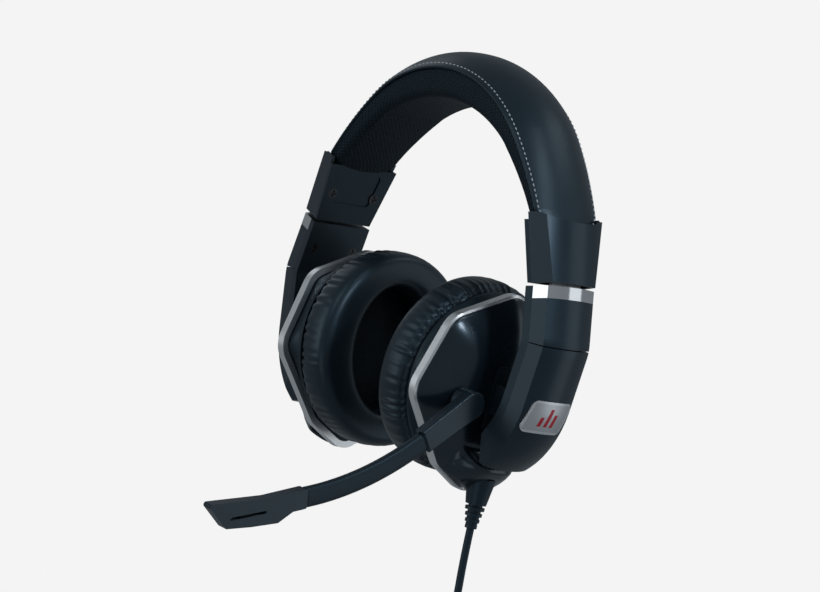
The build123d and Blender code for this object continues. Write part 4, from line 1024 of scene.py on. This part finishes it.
def cushion(side, phases):
    sections = cushion_rings()
    places, faces = loft_sections(sections, capped=False)
    for k in range(THROUGH):
        a, b = (AROUND - 1) * THROUGH + k, (AROUND - 1) * THROUGH + (k + 1) % THROUGH
        faces.append((a, b, (k + 1) % THROUGH, k))
    name = "cushion_left" if side > 0 else "cushion_right"
    piece = mesh_piece(name, places, faces, cushion_leather)
    puff(piece, lambda p: p.z > CUSHION_BACK - 2.2 * MM, 1.6 * MM)
    subdivide(piece, 2)
    for vertex in piece.data.vertices:
        p = vertex.co
        turn = atan2(p.y - CUSHION_RISE, p.x)
        shift = gather(p, phases)
        seam = abs((CUSHION_BACK - p.z) - SEAM_IN) / SEAM_HALF
        if p.x**2 + (p.y - CUSHION_RISE) ** 2 > (38 * MM) ** 2:
            shift -= SEAM_DEPTH * max(0.0, 1.0 - seam)
        y, rise = p.x + shift * cos(turn), p.y + shift * sin(turn)
        vertex.co = cup_place(y, rise, min(p.z, CUSHION_BACK), side)
    if side < 0:
        piece.data.flip_normals()
    build = bmesh.new()
    build.from_mesh(piece.data)
    bmesh.ops.recalc_face_normals(build, faces=build.faces)
    build.to_mesh(piece.data)
    build.free()
    word = "left" if side > 0 else "right"
    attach(piece, f"{word}_cup")
    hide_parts(f"{word}_ear_cushion")
    return piece


cushion_leather = surface(
    "cushion_leatherette", (0.0075, 0.0145, 0.0215), (0.0100, 0.0175, 0.0250), leather_grain, 1200.0,
    roughness=0.38, spread=0.07, depth=0.00002, coat=0.25, coat_roughness=0.30,
)
cushion(1, (0.4, 1.7, 2.9, 0.8))
cushion(-1, (2.2, 0.3, 1.1, 3.5))

# ---------------------------------------------------------------- driver cloths
# Fine black acoustic mesh stretched across the inside of each cushion, in front of the driver,
# and glued to the cushion's mounting ring.
CLOTH_OUT = -8.9 * MM
CLOTH_HALF = (21.9 * MM, 27.9 * MM)
CLOTH_SAG = 1.2 * MM
CLOTH_RINGS, CLOTH_AROUND = 12, 64


def cloth_surface():
    material, tree, shader = new_surface("driver_cloth", 0.9)
    uv = tree.nodes.new("ShaderNodeUVMap")
    uv.uv_map = "panel"
    weave = tree.nodes.new("ShaderNodeTexVoronoi")
    weave.inputs["Scale"].default_value = 900.0
    weave.inputs["Randomness"].default_value = 0.0
    tree.links.new(uv.outputs[0], weave.inputs["Vector"])
    tint = colour_mix(tree, (0.003, 0.003, 0.004, 1), (0.016, 0.017, 0.019, 1))
    spread = tree.nodes.new("ShaderNodeMapRange")
    spread.inputs["From Min"].default_value = 0.2
    spread.inputs["From Max"].default_value = 0.6
    tree.links.new(weave.outputs["Distance"], spread.inputs["Value"])
    tree.links.new(spread.outputs[0], tint.inputs["Factor"])
    tree.links.new(tint.outputs["Result"], shader.inputs["Base Color"])
    add_bump(tree, shader, spread.outputs[0], 0.0001)
    return material


mesh_cloth = cloth_surface()
for side, word in ((1, "left"), (-1, "right")):
    flat_places, faces = [(0.0, CUSHION_RISE)], []
    places = [cup_place(0, CUSHION_RISE, CLOTH_OUT - CLOTH_SAG, side)]
    for ring in range(1, CLOTH_RINGS + 1):
        share = ring / CLOTH_RINGS
        for k in range(CLOTH_AROUND):
            angle = tau * k / CLOTH_AROUND
            y, rise = CLOTH_HALF[0] * share * cos(angle), CLOTH_HALF[1] * share * sin(angle)
            flat_places.append((y, rise))
            places.append(cup_place(y, CUSHION_RISE + rise, CLOTH_OUT - CLOTH_SAG * (1 - share**2), side))
    for k in range(CLOTH_AROUND):
        faces.append((0, 1 + k, 1 + (k + 1) % CLOTH_AROUND))
    for ring in range(CLOTH_RINGS - 1):
        for k in range(CLOTH_AROUND):
            a, b = 1 + ring * CLOTH_AROUND + k, 1 + ring * CLOTH_AROUND + (k + 1) % CLOTH_AROUND
            faces.append((a, a + CLOTH_AROUND, b + CLOTH_AROUND, b))
    if side > 0:
        faces = [tuple(reversed(face)) for face in faces]
    mesh = bpy.data.meshes.new(f"driver_mesh_{word}")
    mesh.from_pydata(places, [], faces)
    layer = mesh.uv_layers.new(name="panel")
    for loop in mesh.loops:
        layer.data[loop.index].uv = flat_places[loop.vertex_index]
    for face in mesh.polygons:
        face.use_smooth = True
    mesh.materials.append(mesh_cloth)
    piece = collection_link(bpy.data.objects.new(f"driver_mesh_{word}", mesh))
    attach(piece, f"{word}_cup")
    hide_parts(f"{word}_driver_cloth")

# ---------------------------------------------------------------- microphone boom
# A hard link on a round hub, then a wire-cored flexible stretch in smooth PVC, then a two-part
# capsule with a thin slot over the microphone.
give(satin_plastic, "mic_link", "mic_cover_outer", "mic_cover_inner", "mic_boss")
foam = surface(
    "mic_foam", (0.003, 0.003, 0.004), (0.008, 0.008, 0.009), leather_grain, 3000.0, 0.9, 0.1, depth=0.0001
)
give(foam, "mic_element")
BOSS_AT = (-25.8, -1.5)
LINK_ANGLE, CAPSULE_ANGLE, LINK_LENGTH = 40.0, 14.0, 29.0
FLEX_RADIUS, FLEX_HEIGHT = 148.0, 9.2
BOOM_LOW, BOOM_HIGH = 15.7, 19.9
BLEND_FROM, BLEND_TO, BLEND_OUT = 33.5, 20.5, 17.8
FLEX_STEPS, FLEX_AROUND = 60, 32


def turned(point, angle, along, across=0.0):
    a = radians(angle)
    return (point[0] - along * cos(a) - across * sin(a), point[1] - along * sin(a) + across * cos(a))


link_end = turned(BOSS_AT, LINK_ANGLE, LINK_LENGTH)
flex_centre = turned(link_end, LINK_ANGLE, 0.0, FLEX_RADIUS)


def boom_place(angle, across, out):
    y, rise = turned(flex_centre, angle, 0.0, across - FLEX_RADIUS)
    return cup_place(y * MM, rise * MM, out * MM)


def flex_section(angle):
    """Rounded slab: flat sides, softly rounded top and bottom."""
    middle, half = (BOOM_LOW + BOOM_HIGH) / 2, (BOOM_HIGH - BOOM_LOW) / 2
    ring = []
    for k in range(FLEX_AROUND):
        s = tau * k / FLEX_AROUND
        across = FLEX_HEIGHT / 2 * power(sin(s), 0.5)
        ring.append(boom_place(angle, across, middle + half * power(cos(s), 0.55)))
    return ring


flex_rubber = surface(
    "flex_rubber", (0.0080, 0.0140, 0.0195), (0.0100, 0.0165, 0.0225), moulded_grain, 500.0, 0.46, 0.08,
    depth=0.00002, coat=0.1, coat_roughness=0.3,
)
flex_turn = (CAPSULE_ANGLE - LINK_ANGLE) / FLEX_STEPS
sections = [flex_section(LINK_ANGLE + flex_turn * n) for n in range(FLEX_STEPS + 1)]
places, faces = loft_sections(sections)
flex = mesh_piece("boom_flex", places, faces, flex_rubber)
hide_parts("mic_flex_root", "mic_flex_tip")
after = Vector(boom_place(BLEND_TO, 0.0, BLEND_OUT))
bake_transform(flex)

# ---------------------------------------------------------------- strain relief, tie and plug
# Soft PVC moulded round the cord: a wide collar and tapering ribs under the cup, a hook-and-loop
# tie on the coil, and a 3.5 mm four-pole plug with gold-plated contacts.
give(cord_rubber, "strain_relief", "plug_body")
tie_cloth = surface(
    "tie", (0.012, 0.013, 0.015), (0.030, 0.031, 0.034), leather_grain, 2200.0, 0.85, 0.1, depth=0.0002
)
give(tie_cloth, "cord_tie")


def jack_surface():
    """Gold contacts parted by thin black rings along the plug's length."""
    material, tree, shader = new_surface("jack_metal", 0.18, metallic=1.0)
    place = tree.nodes.new("ShaderNodeTexCoord")
    split = tree.nodes.new("ShaderNodeSeparateXYZ")
    tree.links.new(place.outputs["Object"], split.inputs[0])
    bands = tree.nodes.new("ShaderNodeValToRGB")
    bands.color_ramp.interpolation = "CONSTANT"
    low, high = -0.357, -0.343
    span = tree.nodes.new("ShaderNodeMapRange")
    span.inputs["From Min"].default_value = low
    span.inputs["From Max"].default_value = high
    tree.links.new(split.outputs["Z"], span.inputs["Value"])
    tree.links.new(span.outputs[0], bands.inputs["Fac"])
    stops = [(0.0, 0), (0.34, 1), (0.375, 0), (0.54, 1), (0.575, 0), (0.74, 1), (0.775, 0)]
    ramp = bands.color_ramp
    while len(ramp.elements) > 1:
        ramp.elements.remove(ramp.elements[-1])
    for index, (place_on, dark) in enumerate(stops):
        element = ramp.elements[0] if index == 0 else ramp.elements.new(place_on)
        element.position = place_on
        element.color = (0.012, 0.012, 0.013, 1) if dark else (0.80, 0.60, 0.28, 1)
    tree.links.new(bands.outputs["Color"], shader.inputs["Base Color"])
    noise = tree.nodes.new("ShaderNodeGroup")
    noise.node_tree = moulded_grain
    noise.inputs["Scale"].default_value = 1500.0
    tree.links.new(place.outputs["Object"], noise.inputs["Vector"])
    add_bump(tree, shader, noise.outputs["Height"], 0.00001)
    return material


give(jack_surface(), "jack")
